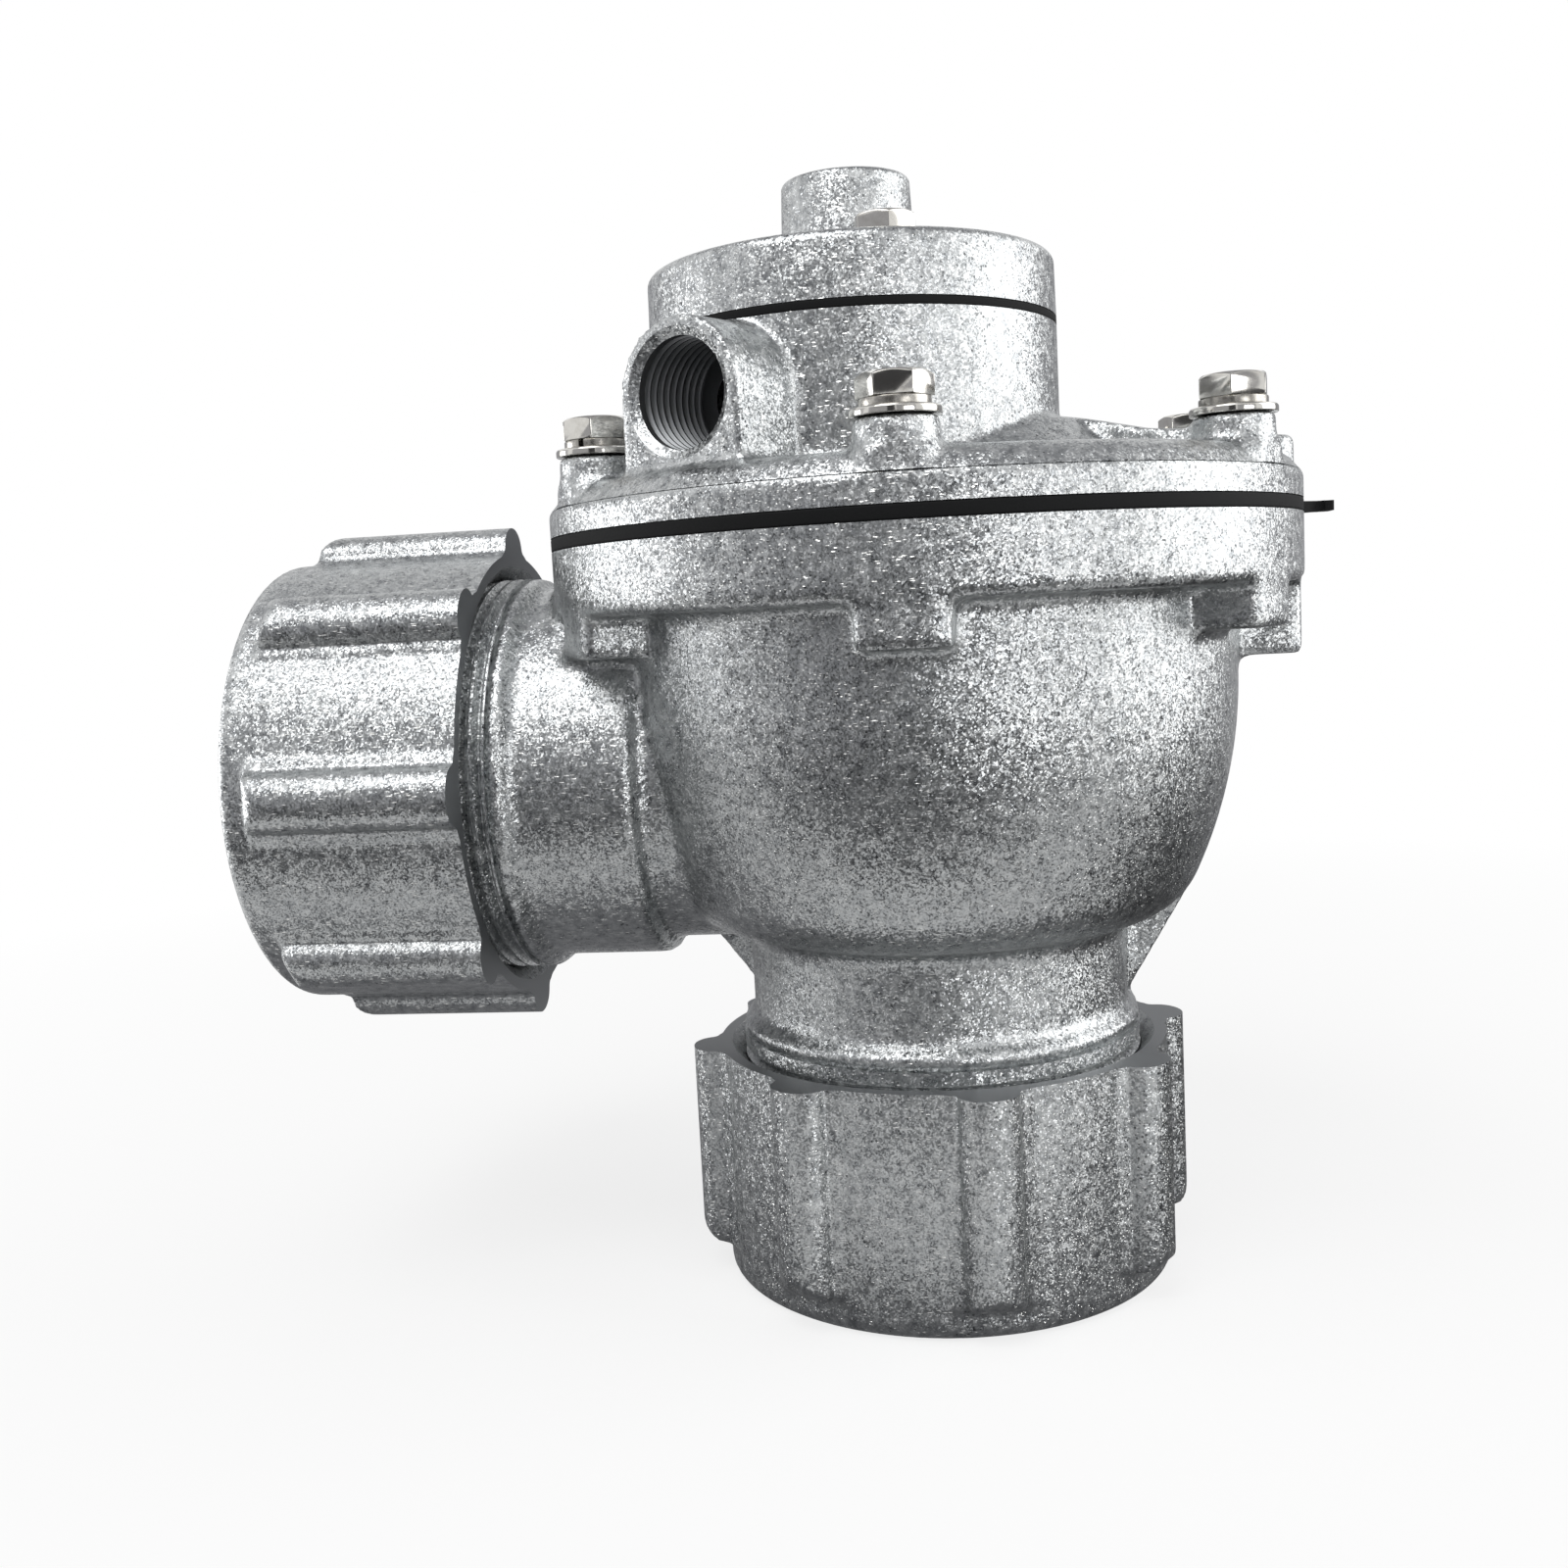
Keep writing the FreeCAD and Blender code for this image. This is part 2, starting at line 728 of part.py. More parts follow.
def compression_nut(label, rib_turn):
    """Ribbed nut, built with its outer end at 0 and its mouth towards +Z."""
    body = new_body(label)
    hole_radius = s.pipe_radius + s.nut_hole_clearance
    sketch = new_sketch(body, "XZ_Plane")
    outline(
        sketch,
        [
            (hole_radius, 0),
            (nut_radius, 0),
            (nut_radius, s.nut_length),
            (nut_bore_radius + s.nut_mouth_chamfer, s.nut_length),
            (nut_bore_radius, s.nut_length - s.nut_mouth_chamfer),
            (nut_bore_radius, s.nut_end_wall),
            (hole_radius, s.nut_end_wall),
        ],
    )
    revolve(body, sketch)
    round_edges(body, s.nut_end_round, lambda edge: is_ring(edge, nut_radius, as_size(0)))
    half = s.rib_width / 2
    foot = nut_radius - s.nut_wall / 2
    shoulder = nut_radius + s.rib_rise * 0.45
    sketch = new_sketch(body, "XY_Plane", z=s.rib_end_gap)
    turn_sketch(sketch, V(0, 0, 1), rib_turn)
    outline(
        sketch,
        [
            (-half, -foot),
            (-half * 0.86, -shoulder),
            (half * 0.86, -shoulder, rib_crown_radius(), -1),
            (half, -foot),
        ],
    )
    rib = pad(body, sketch, s.nut_length - s.rib_end_gap)
    polar(body, [rib], s.rib_count)
    round_rib_ends(body)
    clear = (nut_bore_radius, nut_bore_radius - 1)
    root_radius = nut_bore_radius + s.nut_thread_depth
    first = s.nut_end_wall + s.neck_thread_pitch
    last = s.nut_length - s.nut_mouth_chamfer
    sketch = new_sketch(body, "XZ_Plane")
    rows = comb(first, last, s.neck_thread_pitch, clear, root_radius)
    outline(sketch, [(radius, place) for place, radius in rows])
    groove(body, sketch)
    return body


def rib_crown_radius():
    """Radius of the rib's crown, whose top stands rib_rise above the nut."""
    half_chord = s.rib_width * 0.43
    height = s.rib_rise * 0.55
    return (half_chord * half_chord + height * height) / (height * 2)


def round_rib_ends(body):
    """Take the ribs' outer end corners off along one quarter round."""
    foot = nut_radius + s.rib_rise - s.rib_end_round
    beyond = nut_radius + s.rib_rise + 1
    sketch = new_sketch(body, "XZ_Plane")
    outline(
        sketch,
        [
            (foot, s.rib_end_gap - 1),
            (beyond, s.rib_end_gap - 1),
            (beyond, s.rib_end_gap + s.rib_end_round),
            (beyond - 1, s.rib_end_gap + s.rib_end_round),
            (foot, s.rib_end_gap, s.rib_end_round, -1),
        ],
    )
    groove(body, sketch)


def slip_ring(label):
    """Flat steel ring between a nut's end wall and the gland seal."""
    body = new_body(label)
    sketch = new_sketch(body, "XY_Plane", z=s.nut_end_wall)
    circle(sketch, nut_bore_radius - s.slip_ring_play)
    circle(sketch, socket_radius)
    pad(body, sketch, s.slip_ring_thickness)
    return body


def gland_seal(label):
    """Rubber ring whose tapered nose is pressed into the neck's bevel round the pipe."""
    body = new_body(label)
    back = s.nut_end_wall + s.slip_ring_thickness
    face = neck_end - s.gland_play
    taper = (socket_bevel_radius - socket_radius) / s.socket_bevel_depth
    nose_radius = socket_bevel_radius - taper * s.gland_nose
    play = s.gland_play * 1.5
    sketch = new_sketch(body, "XZ_Plane")
    outline(
        sketch,
        [
            (socket_radius, back),
            (socket_bevel_radius + 1, back),
            (socket_bevel_radius + 1, face),
            (socket_bevel_radius - play, face),
            (nose_radius - play, neck_end + s.gland_nose),
            (socket_radius, neck_end + s.gland_nose),
        ],
    )
    revolve(body, sketch)
    return body


def turn_to_inlet(body):
    """Move a piece built for the outlet neck to the same place on the inlet neck."""
    body.Placement.Rotation = FreeCAD.Rotation(V(0, 1, 0), 90)
    bind(body, Placement__Base__x=-inlet_reach, Placement__Base__z=inlet_height)
    doc.recompute()
    return body


def bonnet():
    """Cover with bolt bosses, cone, pilot chamber, nozzle and exhaust port."""
    body = new_body("bonnet")
    base = s.joint_height
    seam_radius = flange_radius - s.bonnet_seam
    plate_edge = seam_radius - s.bonnet_shoulder_width
    sketch = new_sketch(body, "XZ_Plane", y=base)
    outline(
        sketch,
        [
            (0, 0),
            (flange_radius, 0),
            (flange_radius, s.bonnet_rim),
            (seam_radius, s.bonnet_rim + s.bonnet_seam / 3),
            (plate_edge, s.bonnet_plate, s.bonnet_shoulder_curve, -1),
            (cone_foot_radius, s.bonnet_plate),
            (cone_top_radius, s.cone_height),
            (0, s.cone_height),
        ],
    )
    revolve(body, sketch)
    sketch = new_sketch(body, "XY_Plane", z=base + s.bonnet_rim)
    circle(sketch, pilot_radius, s.pilot_x, s.pilot_y)
    pad(body, sketch, s.pilot_face_height - s.bonnet_rim)
    port_boss(body)
    bosses_and_webs(body)

    sketch = new_sketch(body, "XZ_Plane", y=base)
    outline(
        sketch,
        [
            (0, -1),
            (chamber_radius, -1),
            (chamber_radius - s.annulus_height / 2, s.annulus_height),
            (ceiling_radius + 1, s.annulus_height),
            (ceiling_radius, s.ceiling_height),
            (0, s.ceiling_height),
        ],
    )
    groove(body, sketch)
    sketch = new_sketch(body, "XZ_Plane", x=s.pilot_x, y=base, z=-s.pilot_y)
    seat = s.pilot_face_height - s.pilot_seat_drop
    floor = s.pilot_face_height - s.pilot_chamber_depth
    outline(
        sketch,
        [
            (0, s.pilot_face_height + 1),
            (pilot_chamber_radius, s.pilot_face_height + 1),
            (pilot_chamber_radius, floor),
            (s.nozzle_radius, floor),
            (s.nozzle_radius, seat),
            (s.nozzle_bore_radius, seat),
            (s.nozzle_bore_radius, s.port_height),
            (0, s.port_height),
        ],
    )
    groove(body, sketch)
    port_bore(body)
    transfer_holes(body)

    sketch = new_sketch(body, "XY_Plane", z=base + s.bolt_boss_height)
    circle(sketch, bolt_hole_radius, 0, -bolt_circle_radius)
    hole = pocket(body, sketch, s.bolt_boss_height)
    polar(body, [hole], s.bolt_count)
    depth = s.cap_bolt_length - s.cap_height - s.pilot_diaphragm_thickness
    sketch = new_sketch(body, "XY_Plane", z=pilot_face)
    cap_bolt_circles(sketch, s.cap_bolt_radius + s.bolt_thread_clearance, s.pilot_x, s.pilot_y)
    pocket(body, sketch, depth)
    return body


def cap_bolt_circles(sketch, radius, x=0, y=0):
    """Circles at the cap's bolts, round a centre."""
    for number in range(int(s.cap_bolt_count.value)):
        angle = s.cap_bolt_turn + cap_bolt_step * number
        reach = cap_bolt_circle_radius
        circle(sketch, radius, x + reach * sine(angle), y - reach * cosine(angle))


def port_sketch(body, reach):
    """A sketch across the exhaust port's axis, its normal pointing out of the port."""
    turn = -s.port_turn
    sketch = new_sketch(
        body,
        "XZ_Plane",
        x=s.pilot_x + reach * sine(turn),
        y=s.joint_height + s.port_height,
        z=reach * cosine(turn) - s.pilot_y,
    )
    turn_sketch(sketch, V(0, -1, 0), s.port_turn)
    return sketch


def port_boss(body):
    """Arched boss of the exhaust port, its sides straight down to the flange."""
    arch = s.port_arch_radius
    foot = -(s.port_height - s.bonnet_rim)
    sketch = port_sketch(body, port_reach)
    steps = [(-arch, foot), (arch, foot), (arch, 0), (0, arch, arch, -1), (-arch, 0, arch, -1)]
    outline(sketch, steps)
    pad(body, sketch, port_reach - pilot_radius / 2, reverse=True)


def port_bore(body):
    """Threaded hole of the exhaust port and the passage from the nozzle."""
    before = port_reach + 1
    sketch = port_sketch(body, port_reach)
    circle(sketch, s.port_passage_radius)
    pocket(body, sketch, port_reach)
    sketch = port_sketch(body, before)
    circle(sketch, s.port_minor_radius)
    pocket(body, sketch, s.port_thread_length + 1)
    turn = -s.port_turn
    sketch = new_sketch(
        body,
        "XZ_Plane",
        x=s.pilot_x,
        y=s.joint_height + s.port_height,
        z=-s.pilot_y,
    )
    turn_sketch(sketch, V(0, 1, 0), 90 + turn)
    major = s.port_minor_radius + s.port_thread_depth
    clear = (s.port_minor_radius, s.port_minor_radius - 1)
    first = port_reach - s.port_thread_length
    rows = comb(first, port_reach, s.port_thread_pitch, clear, major)
    outline(sketch, [(-place, radius) for place, radius in rows])
    groove(body, sketch, "H_Axis")


def transfer_holes(body):
    """Holes that join the main chamber to the pilot chamber, away from the port."""
    reach = (s.nozzle_radius + pilot_chamber_radius) / 2
    sketch = new_sketch(body, "XY_Plane", z=pilot_face)
    for step in (-1, 0, 1):
        angle = 180 - s.port_turn + s.transfer_spread * step
        x = s.pilot_x + reach * sine(angle)
        y = s.pilot_y - reach * cosine(angle)
        circle(sketch, transfer_radius, x, y)
    pocket(body, sketch, s.pilot_face_height - s.ceiling_height + 0.5)


def bosses_and_webs(body):
    """Bolt bosses, the plain post beside the tab, and webs from the cone to the far bosses."""
    start = s.joint_height + s.bonnet_rim
    sketch = new_sketch(body, "XY_Plane", z=start)
    circle(sketch, s.bolt_boss_radius, 0, -bolt_circle_radius)
    boss = pad(body, sketch, s.bolt_boss_height - s.bonnet_rim)
    polar(body, [boss], s.bolt_count)
    sketch = new_sketch(body, "XY_Plane", z=start)
    circle(sketch, s.post_radius, flange_radius - s.post_inset, 0)
    pad(body, sketch, s.post_height - s.bonnet_rim)
    half = s.web_width / 2
    for number in (1, 2, 3):
        turn = bolt_turn * number
        x = half * cosine(turn)
        z = -(half * sine(turn))
        sketch = new_sketch(body, "XZ_Plane", x, s.joint_height, z)
        turn_sketch(sketch, V(0, -1, 0), 90 - turn)
        outline(
            sketch,
            [
                (ceiling_radius, s.bonnet_rim),
                (bolt_circle_radius - 2, s.bonnet_rim),
                (bolt_circle_radius - 2, s.bolt_boss_height - 1.5),
                (cone_top_radius, s.cone_height),
                (ceiling_radius, s.cone_height),
            ],
        )
        pad(body, sketch, s.web_width, reverse=True)


def pilot_cap():
    """Round cover over the pilot diaphragm, with the pilot port's boss."""
    body = new_body("pilot_cap", x=s.pilot_x, y=s.pilot_y, z=cap_bottom)
    top = s.cap_height + s.cap_boss_height
    sketch = new_sketch(body, "XZ_Plane")
    outline(
        sketch,
        [
            (0, 0),
            (pilot_radius, 0),
            (pilot_radius, s.cap_height),
            (s.cap_boss_radius, s.cap_height),
            (s.cap_boss_radius, top),
            (0, top),
        ],
    )
    revolve(body, sketch)
    round_edges(body, s.cap_edge_round, lambda edge: is_ring(edge, pilot_radius, s.cap_height))
    round_edges(body, s.cap_boss_round, lambda edge: is_ring(edge, s.cap_boss_radius, top))
    thread_foot = top - s.cap_port_thread_length
    sketch = new_sketch(body, "XZ_Plane")
    outline(
        sketch,
        [
            (0, -1),
            (pilot_chamber_radius, -1),
            (pilot_chamber_radius, s.cap_chamber_height),
            (s.cap_port_passage_radius, s.cap_chamber_height),
            (s.cap_port_passage_radius, thread_foot),
            (s.cap_port_minor_radius, thread_foot),
            (s.cap_port_minor_radius, top + 1),
            (0, top + 1),
        ],
    )
    groove(body, sketch)
    major = s.cap_port_minor_radius + s.cap_port_thread_depth
    clear = (s.cap_port_minor_radius, s.cap_port_minor_radius - 1)
    sketch = new_sketch(body, "XZ_Plane")
    rows = comb(thread_foot, top, s.cap_port_thread_pitch, clear, major)
    outline(sketch, [(radius, place) for place, radius in rows])
    groove(body, sketch)
    sketch = new_sketch(body, "XY_Plane", z=s.cap_height)
    cap_bolt_circles(sketch, cap_bolt_hole_radius)
    pocket(body, sketch, s.cap_height)
    return body


def main_diaphragm():
    """Dished rubber disc: clamped rim, sloping flank, web on the seat, and a tab."""
    body = new_body("main_diaphragm")
    hole = s.centre_screw_radius + s.screw_clearance
    sketch = new_sketch(body, "XZ_Plane")
    outline(
        sketch,
        [
            (hole, seat_height),
            (web_radius, seat_height),
            (bead_radius, body_top),
            (flange_radius, body_top),
            (flange_radius, s.joint_height),
            (bead_radius - 1, s.joint_height),
            (web_radius - 1, web_top),
            (hole, web_top),
        ],
    )
    revolve(body, sketch)
    half = s.tab_width / 2
    base = s.tab_base_width / 2
    sketch = new_sketch(body, "XY_Plane", z=body_top)
    tip = flange_radius + s.tab_reach
    start = flange_radius - s.tab_width / 2
    outline(sketch, [(start, -base), (tip, -half), (tip, half), (start, base)])
    pad(body, sketch, s.main_diaphragm_thickness)
    sketch = new_sketch(body, "XY_Plane", z=s.joint_height)
    circle(sketch, bolt_hole_radius, 0, -bolt_circle_radius)
    holes = pocket(body, sketch, s.main_diaphragm_thickness)
    polar(body, [holes], s.bolt_count)
    sketch = new_sketch(body, "XY_Plane", z=s.joint_height)
    circle(sketch, s.bleed_radius, 0, bleed_circle_radius)
    pocket(body, sketch, s.seat_depth)
    return body


def disc(label, radius, hole, thickness, x=0, y=0, z=0):
    """Flat round disc with a centre hole."""
    body = new_body(label, x, y, z)
    sketch = new_sketch(body, "XY_Plane")
    circle(sketch, radius)
    circle(sketch, hole)
    pad(body, sketch, thickness)
    return body


def hexagon(sketch, flats, x=0, y=0):
    """Draw a hexagon with two corners on the sketch's X direction."""
    corner = flats / math.sqrt(3)
    steps = []
    for number in range(6):
        angle = 60 * number
        steps.append((x + corner * cosine(angle), y + corner * sine(angle)))
    return outline(sketch, steps)


def hex_head(body, flats, height, z=0, x=0, y=0):
    """Add a hexagonal head or nut to a body."""
    sketch = new_sketch(body, "XY_Plane", z=z)
    hexagon(sketch, flats, x, y)
    return pad(body, sketch, height)


def shank(body, radius, length, z=0, x=0, y=0):
    """Add a round shank that runs down from a height."""
    sketch = new_sketch(body, "XY_Plane", z=z)
    circle(sketch, radius, x, y)
    return pad(body, sketch, length, reverse=True)


def main_screw():
    """Hex screw up through the clamp disc, the web, the support disc and the nut."""
    clamp_bottom = seat_height - s.clamp_disc_thickness
    body = new_body("main_screw", z=clamp_bottom)
    hex_head(body, s.centre_screw_flats, s.centre_screw_head, z=-s.centre_screw_head)
    stack = s.clamp_disc_thickness + s.main_web_thickness + s.support_disc_thickness
    length = stack + s.centre_nut_height
    shank(body, s.centre_screw_radius, length, z=length)
    return body


def main_nut():
    """Thin hex nut on the screw above the support disc."""
    body = new_body("main_nut", z=web_top + s.support_disc_thickness)
    hex_head(body, s.centre_screw_flats, s.centre_nut_height)
    sketch = new_sketch(body, "XY_Plane", z=s.centre_nut_height)
    circle(sketch, s.centre_screw_radius + s.bolt_thread_clearance)
    pocket(body, sketch, s.centre_nut_height)
    return body


def coil_spring(label, wire, radius, turns, taper, foot, top, x=0, y=0):
    """Round-wire coil spring between two flat faces; a taper makes its top wider."""
    body = new_body(label, x, y, foot + s.spring_end_gap + wire / 2)
    height = top - foot - wire - s.spring_end_gap * 2
    sketch = new_sketch(body, "XZ_Plane")
    circle(sketch, wire / 2, radius, 0)
    feature = body.newObject("PartDesign::AdditiveHelix", label + "_coil")
    feature.Profile = sketch
    feature.ReferenceAxis = (sketch, ["V_Axis"])
    feature.Mode = 0
    bind(feature, Pitch=height / turns, Height=height, Angle=taper)
    doc.recompute()
    return body


def pilot_diaphragm():
    """Small dished rubber disc, clamped under the cap; its web closes the nozzle."""
    body = new_body("pilot_diaphragm", x=s.pilot_x, y=s.pilot_y, z=pilot_face)
    hole = s.rivet_radius + s.screw_clearance
    thickness = s.pilot_diaphragm_thickness
    sketch = new_sketch(body, "XZ_Plane")
    outline(
        sketch,
        [
            (hole, -s.pilot_seat_drop),
            (pilot_web_radius, -s.pilot_seat_drop),
            (pilot_bead_radius, 0),
            (pilot_radius, 0),
            (pilot_radius, thickness),
            (pilot_bead_radius - 0.5, thickness),
            (pilot_web_radius - 0.5, thickness - s.pilot_seat_drop),
            (hole, thickness - s.pilot_seat_drop),
        ],
    )
    revolve(body, sketch)
    sketch = new_sketch(body, "XY_Plane", z=thickness)
    cap_bolt_circles(sketch, cap_bolt_hole_radius)
    pocket(body, sketch, thickness)
    return body


def pilot_rivet():
    """Rivet through the pilot diaphragm's web and its two discs."""
    stack = s.pilot_clamp_thickness + s.pilot_diaphragm_thickness + s.pilot_disc_thickness
    foot = pilot_seat - s.pilot_clamp_thickness
    body = new_body("pilot_rivet", x=s.pilot_x, y=s.pilot_y, z=foot)
    sketch = new_sketch(body, "XZ_Plane")
    outline(
        sketch,
        [
            (0, -s.rivet_head_height),
            (s.rivet_head_radius, -s.rivet_head_height),
            (s.rivet_head_radius, 0),
            (s.rivet_radius, 0),
            (s.rivet_radius, stack),
            (s.rivet_head_radius, stack),
            (s.rivet_head_radius, stack + s.rivet_head_height),
            (0, stack + s.rivet_head_height),
        ],
    )
    revolve(body, sketch)
    return body


def bolt_group(label, head_z, flats, head_height, radius, length, circle_radius, count, turn=0, at=None):
    """Hex bolts on a circle, their heads' undersides at one height."""
    x, y = at or (0, 0)
    body = new_body(label, x, y, head_z)
    start_x = circle_radius * sine(turn)
    start_y = -(circle_radius * cosine(turn))
    head = hex_head(body, flats, head_height, 0, start_x, start_y)
    stem = shank(body, radius, length, 0, start_x, start_y)
    polar(body, [head, stem], count)
    return body


def washer_group(label, z, outer, hole, thickness, circle_radius, count, slit=None, turn=0, at=None):
    """Flat or split washers on a circle."""
    x, y = at or (0, 0)
    body = new_body(label, x, y, z)
    start_x = circle_radius * sine(turn)
    start_y = -(circle_radius * cosine(turn))
    sketch = new_sketch(body, "XY_Plane")
    circle(sketch, outer, start_x, start_y)
    circle(sketch, hole, start_x, start_y)
    features = [pad(body, sketch, thickness)]
    if slit is not None:
        sketch = new_sketch(body, "XY_Plane", z=thickness)
        low = start_y - outer - 1
        left = start_x - slit / 2
        right = start_x + slit / 2
        outline(sketch, [(left, low), (right, low), (right, start_y), (left, start_y)])
        features.append(pocket(body, sketch, thickness))
    polar(body, features, count)
    return body


def flange_fasteners():
    """Bolts, spring washers and flat washers of the bonnet."""
    hole = s.bolt_radius + s.washer_clearance
    reach = bolt_circle_radius
    count = s.bolt_count
    washer_group(
        "flange_washers", boss_top, s.washer_radius, hole, s.washer_thickness, reach, count
    )
    spring_z = boss_top + s.washer_thickness
    washer_group(
        "flange_spring_washers",
        spring_z,
        s.spring_washer_radius,
        hole,
        s.spring_washer_thickness,
        reach,
        count,
        slit=s.spring_washer_slit,
    )
    bolt_group(
        "flange_bolts",
        spring_z + s.spring_washer_thickness,
        s.bolt_flats,
        s.bolt_head_height,
        s.bolt_radius,
        s.bolt_length,
        reach,
        count,
    )


def cap_fasteners():
    """Bolts of the cap."""
    reach = cap_bolt_circle_radius
    count = s.cap_bolt_count
    turn = s.cap_bolt_turn
    at = (s.pilot_x, s.pilot_y)
    bolt_group(
        "cap_bolts",
        cap_top,
        s.cap_bolt_flats,
        s.cap_bolt_head_height,
        s.cap_bolt_radius,
        s.cap_bolt_length - s.tapped_hole_spare,
        reach,
        count,
        turn,
        at,
    )


def main_moving_set():
    """Discs, screw and nut that lift with the main diaphragm's web, and their spring."""
    hole = s.centre_screw_radius + s.screw_clearance
    disc("main_support_disc", support_disc_radius, hole, s.support_disc_thickness, z=web_top)
    clamp_bottom = seat_height - s.clamp_disc_thickness
    disc("main_clamp_disc", clamp_disc_radius, hole, s.clamp_disc_thickness, z=clamp_bottom)
    main_screw()
    main_nut()
    coil_spring(
        "main_spring",
        s.main_spring_wire,
        main_spring_radius,
        s.main_spring_turns,
        s.main_spring_taper,
        web_top + s.support_disc_thickness,
        ceiling,
    )


def pilot_moving_set():
    """Discs and rivet that lift with the pilot diaphragm's web, and their spring."""
    hole = s.rivet_radius + s.screw_clearance
    web = pilot_seat + s.pilot_diaphragm_thickness
    at = {"x": s.pilot_x, "y": s.pilot_y}
    disc("pilot_support_disc", pilot_disc_radius, hole, s.pilot_disc_thickness, z=web, **at)
    below = pilot_seat - s.pilot_clamp_thickness
    disc("pilot_clamp_disc", s.pilot_clamp_radius, hole, s.pilot_clamp_thickness, z=below, **at)
    pilot_rivet()
    coil_spring(
        "pilot_spring",
        s.pilot_spring_wire,
        pilot_spring_radius,
        s.pilot_spring_turns,
        as_size(0),
        web + s.pilot_disc_thickness,
        pilot_ceiling,
        s.pilot_x,
        s.pilot_y,
    )


def necks():
    """Nut, slip ring and gland seal of each neck."""
    compression_nut("outlet_nut", s.outlet_rib_turn)
    slip_ring("outlet_slip_ring")
    gland_seal("outlet_gland_seal")
    turn_to_inlet(compression_nut("inlet_nut", s.inlet_rib_turn))
    turn_to_inlet(slip_ring("inlet_slip_ring"))
    turn_to_inlet(gland_seal("inlet_gland_seal"))


def write_parts():
    """Check every object, then write each body to its own file."""
    doc.recompute()
    failed = [item.Label for item in doc.Objects if {"Invalid", "Error"} & set(item.State)]
    if failed:
        raise RuntimeError("not computed: " + ", ".join(failed))
    bodies = [item for item in doc.Objects if item.TypeId == "PartDesign::Body"]
    for body in bodies:
        if body.Shape.isNull() or not body.Shape.isValid():
            raise RuntimeError(f"{body.Label} has no valid shape")
    os.makedirs("parts", exist_ok=True)
    for body in bodies:
        body.Shape.exportStep(os.path.join("parts", body.Label + ".step"))
        print(body.Label, len(body.Shape.Solids), "solids", round(body.Shape.Volume), "mm3")


valve_body()
bonnet()
pilot_cap()
main_diaphragm()
main_moving_set()
pilot_diaphragm()
pilot_moving_set()
flange_fasteners()
cap_fasteners()
necks()
write_parts()
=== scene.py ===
"""Looks of a right-angle pulse jet valve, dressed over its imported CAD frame.

Lengths are millimetres in the frame of the CAD: the origin is the middle of the outlet nut's
end, +Z runs up the main axis, and the inlet points to -X. MM turns them to Blender's metres.
"""

import logging
import math
from collections.abc import Callable, Iterator
from contextlib import contextmanager
from dataclasses import dataclass
from enum import Enum

import bmesh
import bpy
from mathutils import Matrix, Vector


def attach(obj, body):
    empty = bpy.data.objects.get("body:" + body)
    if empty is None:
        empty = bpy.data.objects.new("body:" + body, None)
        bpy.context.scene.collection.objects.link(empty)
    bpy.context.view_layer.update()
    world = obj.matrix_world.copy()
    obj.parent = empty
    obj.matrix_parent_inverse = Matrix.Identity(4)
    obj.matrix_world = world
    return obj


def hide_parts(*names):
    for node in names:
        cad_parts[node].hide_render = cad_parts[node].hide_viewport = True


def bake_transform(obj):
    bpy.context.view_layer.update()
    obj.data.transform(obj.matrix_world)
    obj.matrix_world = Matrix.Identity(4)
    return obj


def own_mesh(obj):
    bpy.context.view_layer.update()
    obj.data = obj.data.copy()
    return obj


MM = 0.001
LOG = logging.getLogger("pulse_valve")

Point = tuple[float, float]
Piece = bpy.types.Object
Tree = bpy.types.NodeTree
Node = bpy.types.Node
Socket = bpy.types.NodeSocket


class Cut(Enum):
    """What a second solid does to the first."""

    AWAY = "DIFFERENCE"
    KEEP_COMMON = "INTERSECT"
    ADD = "UNION"


class Slot(Enum):
    """Material slots."""

    CASTING = "cast_aluminium"
    RUBBER = "nitrile_rubber"
    FASTENER = "stainless_steel"
    SPRING = "spring_steel"


def linear(code: str) -> tuple[float, float, float, float]:
    """Turn an sRGB hex colour to linear RGBA.

    Args:
        code: six hex digits.

    Returns:
        The colour as Blender's sockets take it.
    """
    parts = [int(code[place : place + 2], 16) / 255 for place in (0, 2, 4)]
    red, green, blue = (c / 12.92 if c <= 0.04045 else ((c + 0.055) / 1.055) ** 2.4 for c in parts)
    return (red, green, blue, 1.0)


def add_node(tree: Tree, kind: str, settings: dict | None = None, **links) -> Node:
    """Add a node with its settings and what its inputs get.

    Args:
        tree: the node tree.
        kind: the node's type name, without the ShaderNode in front.
        settings: the node's own properties.
        links: an input's name, with underscores for spaces, or in_0, in_1 for a numbered input,
            and a value or another node's output.

    Returns:
        The node.
    """
    node = tree.nodes.new("ShaderNode" + kind)
    for name, value in (settings or {}).items():
        setattr(node, name, value)
    for name, value in links.items():
        numbered = name.startswith("in_")
        socket = node.inputs[int(name[3:])] if numbered else node.inputs[name.replace("_", " ")]
        if isinstance(value, Socket):
            tree.links.new(value, socket)
        else:
            socket.default_value = value
    return node


def bare_tree(owner: bpy.types.Material | bpy.types.World) -> Tree:
    """Turn on the nodes of a material or a world, and clear them."""
    owner.use_nodes = True
    owner.node_tree.nodes.clear()
    return owner.node_tree


def place_in_object(tree: Tree) -> Socket:
    """The place of a point in its object, in metres."""
    return add_node(tree, "TexCoord").outputs["Object"]


def noise(tree: Tree, place: Socket, size_mm: float, **links) -> Socket:
    """Noise of a size in millimetres."""
    made = add_node(tree, "TexNoise", Vector=place, Scale=1 / (size_mm * MM), **links)
    return made.outputs["Fac"]


def cells(tree: Tree, place: Socket, size_mm: float) -> Node:
    """A cell pattern of a size in millimetres."""
    return add_node(tree, "TexVoronoi", Vector=place, Scale=1 / (size_mm * MM))


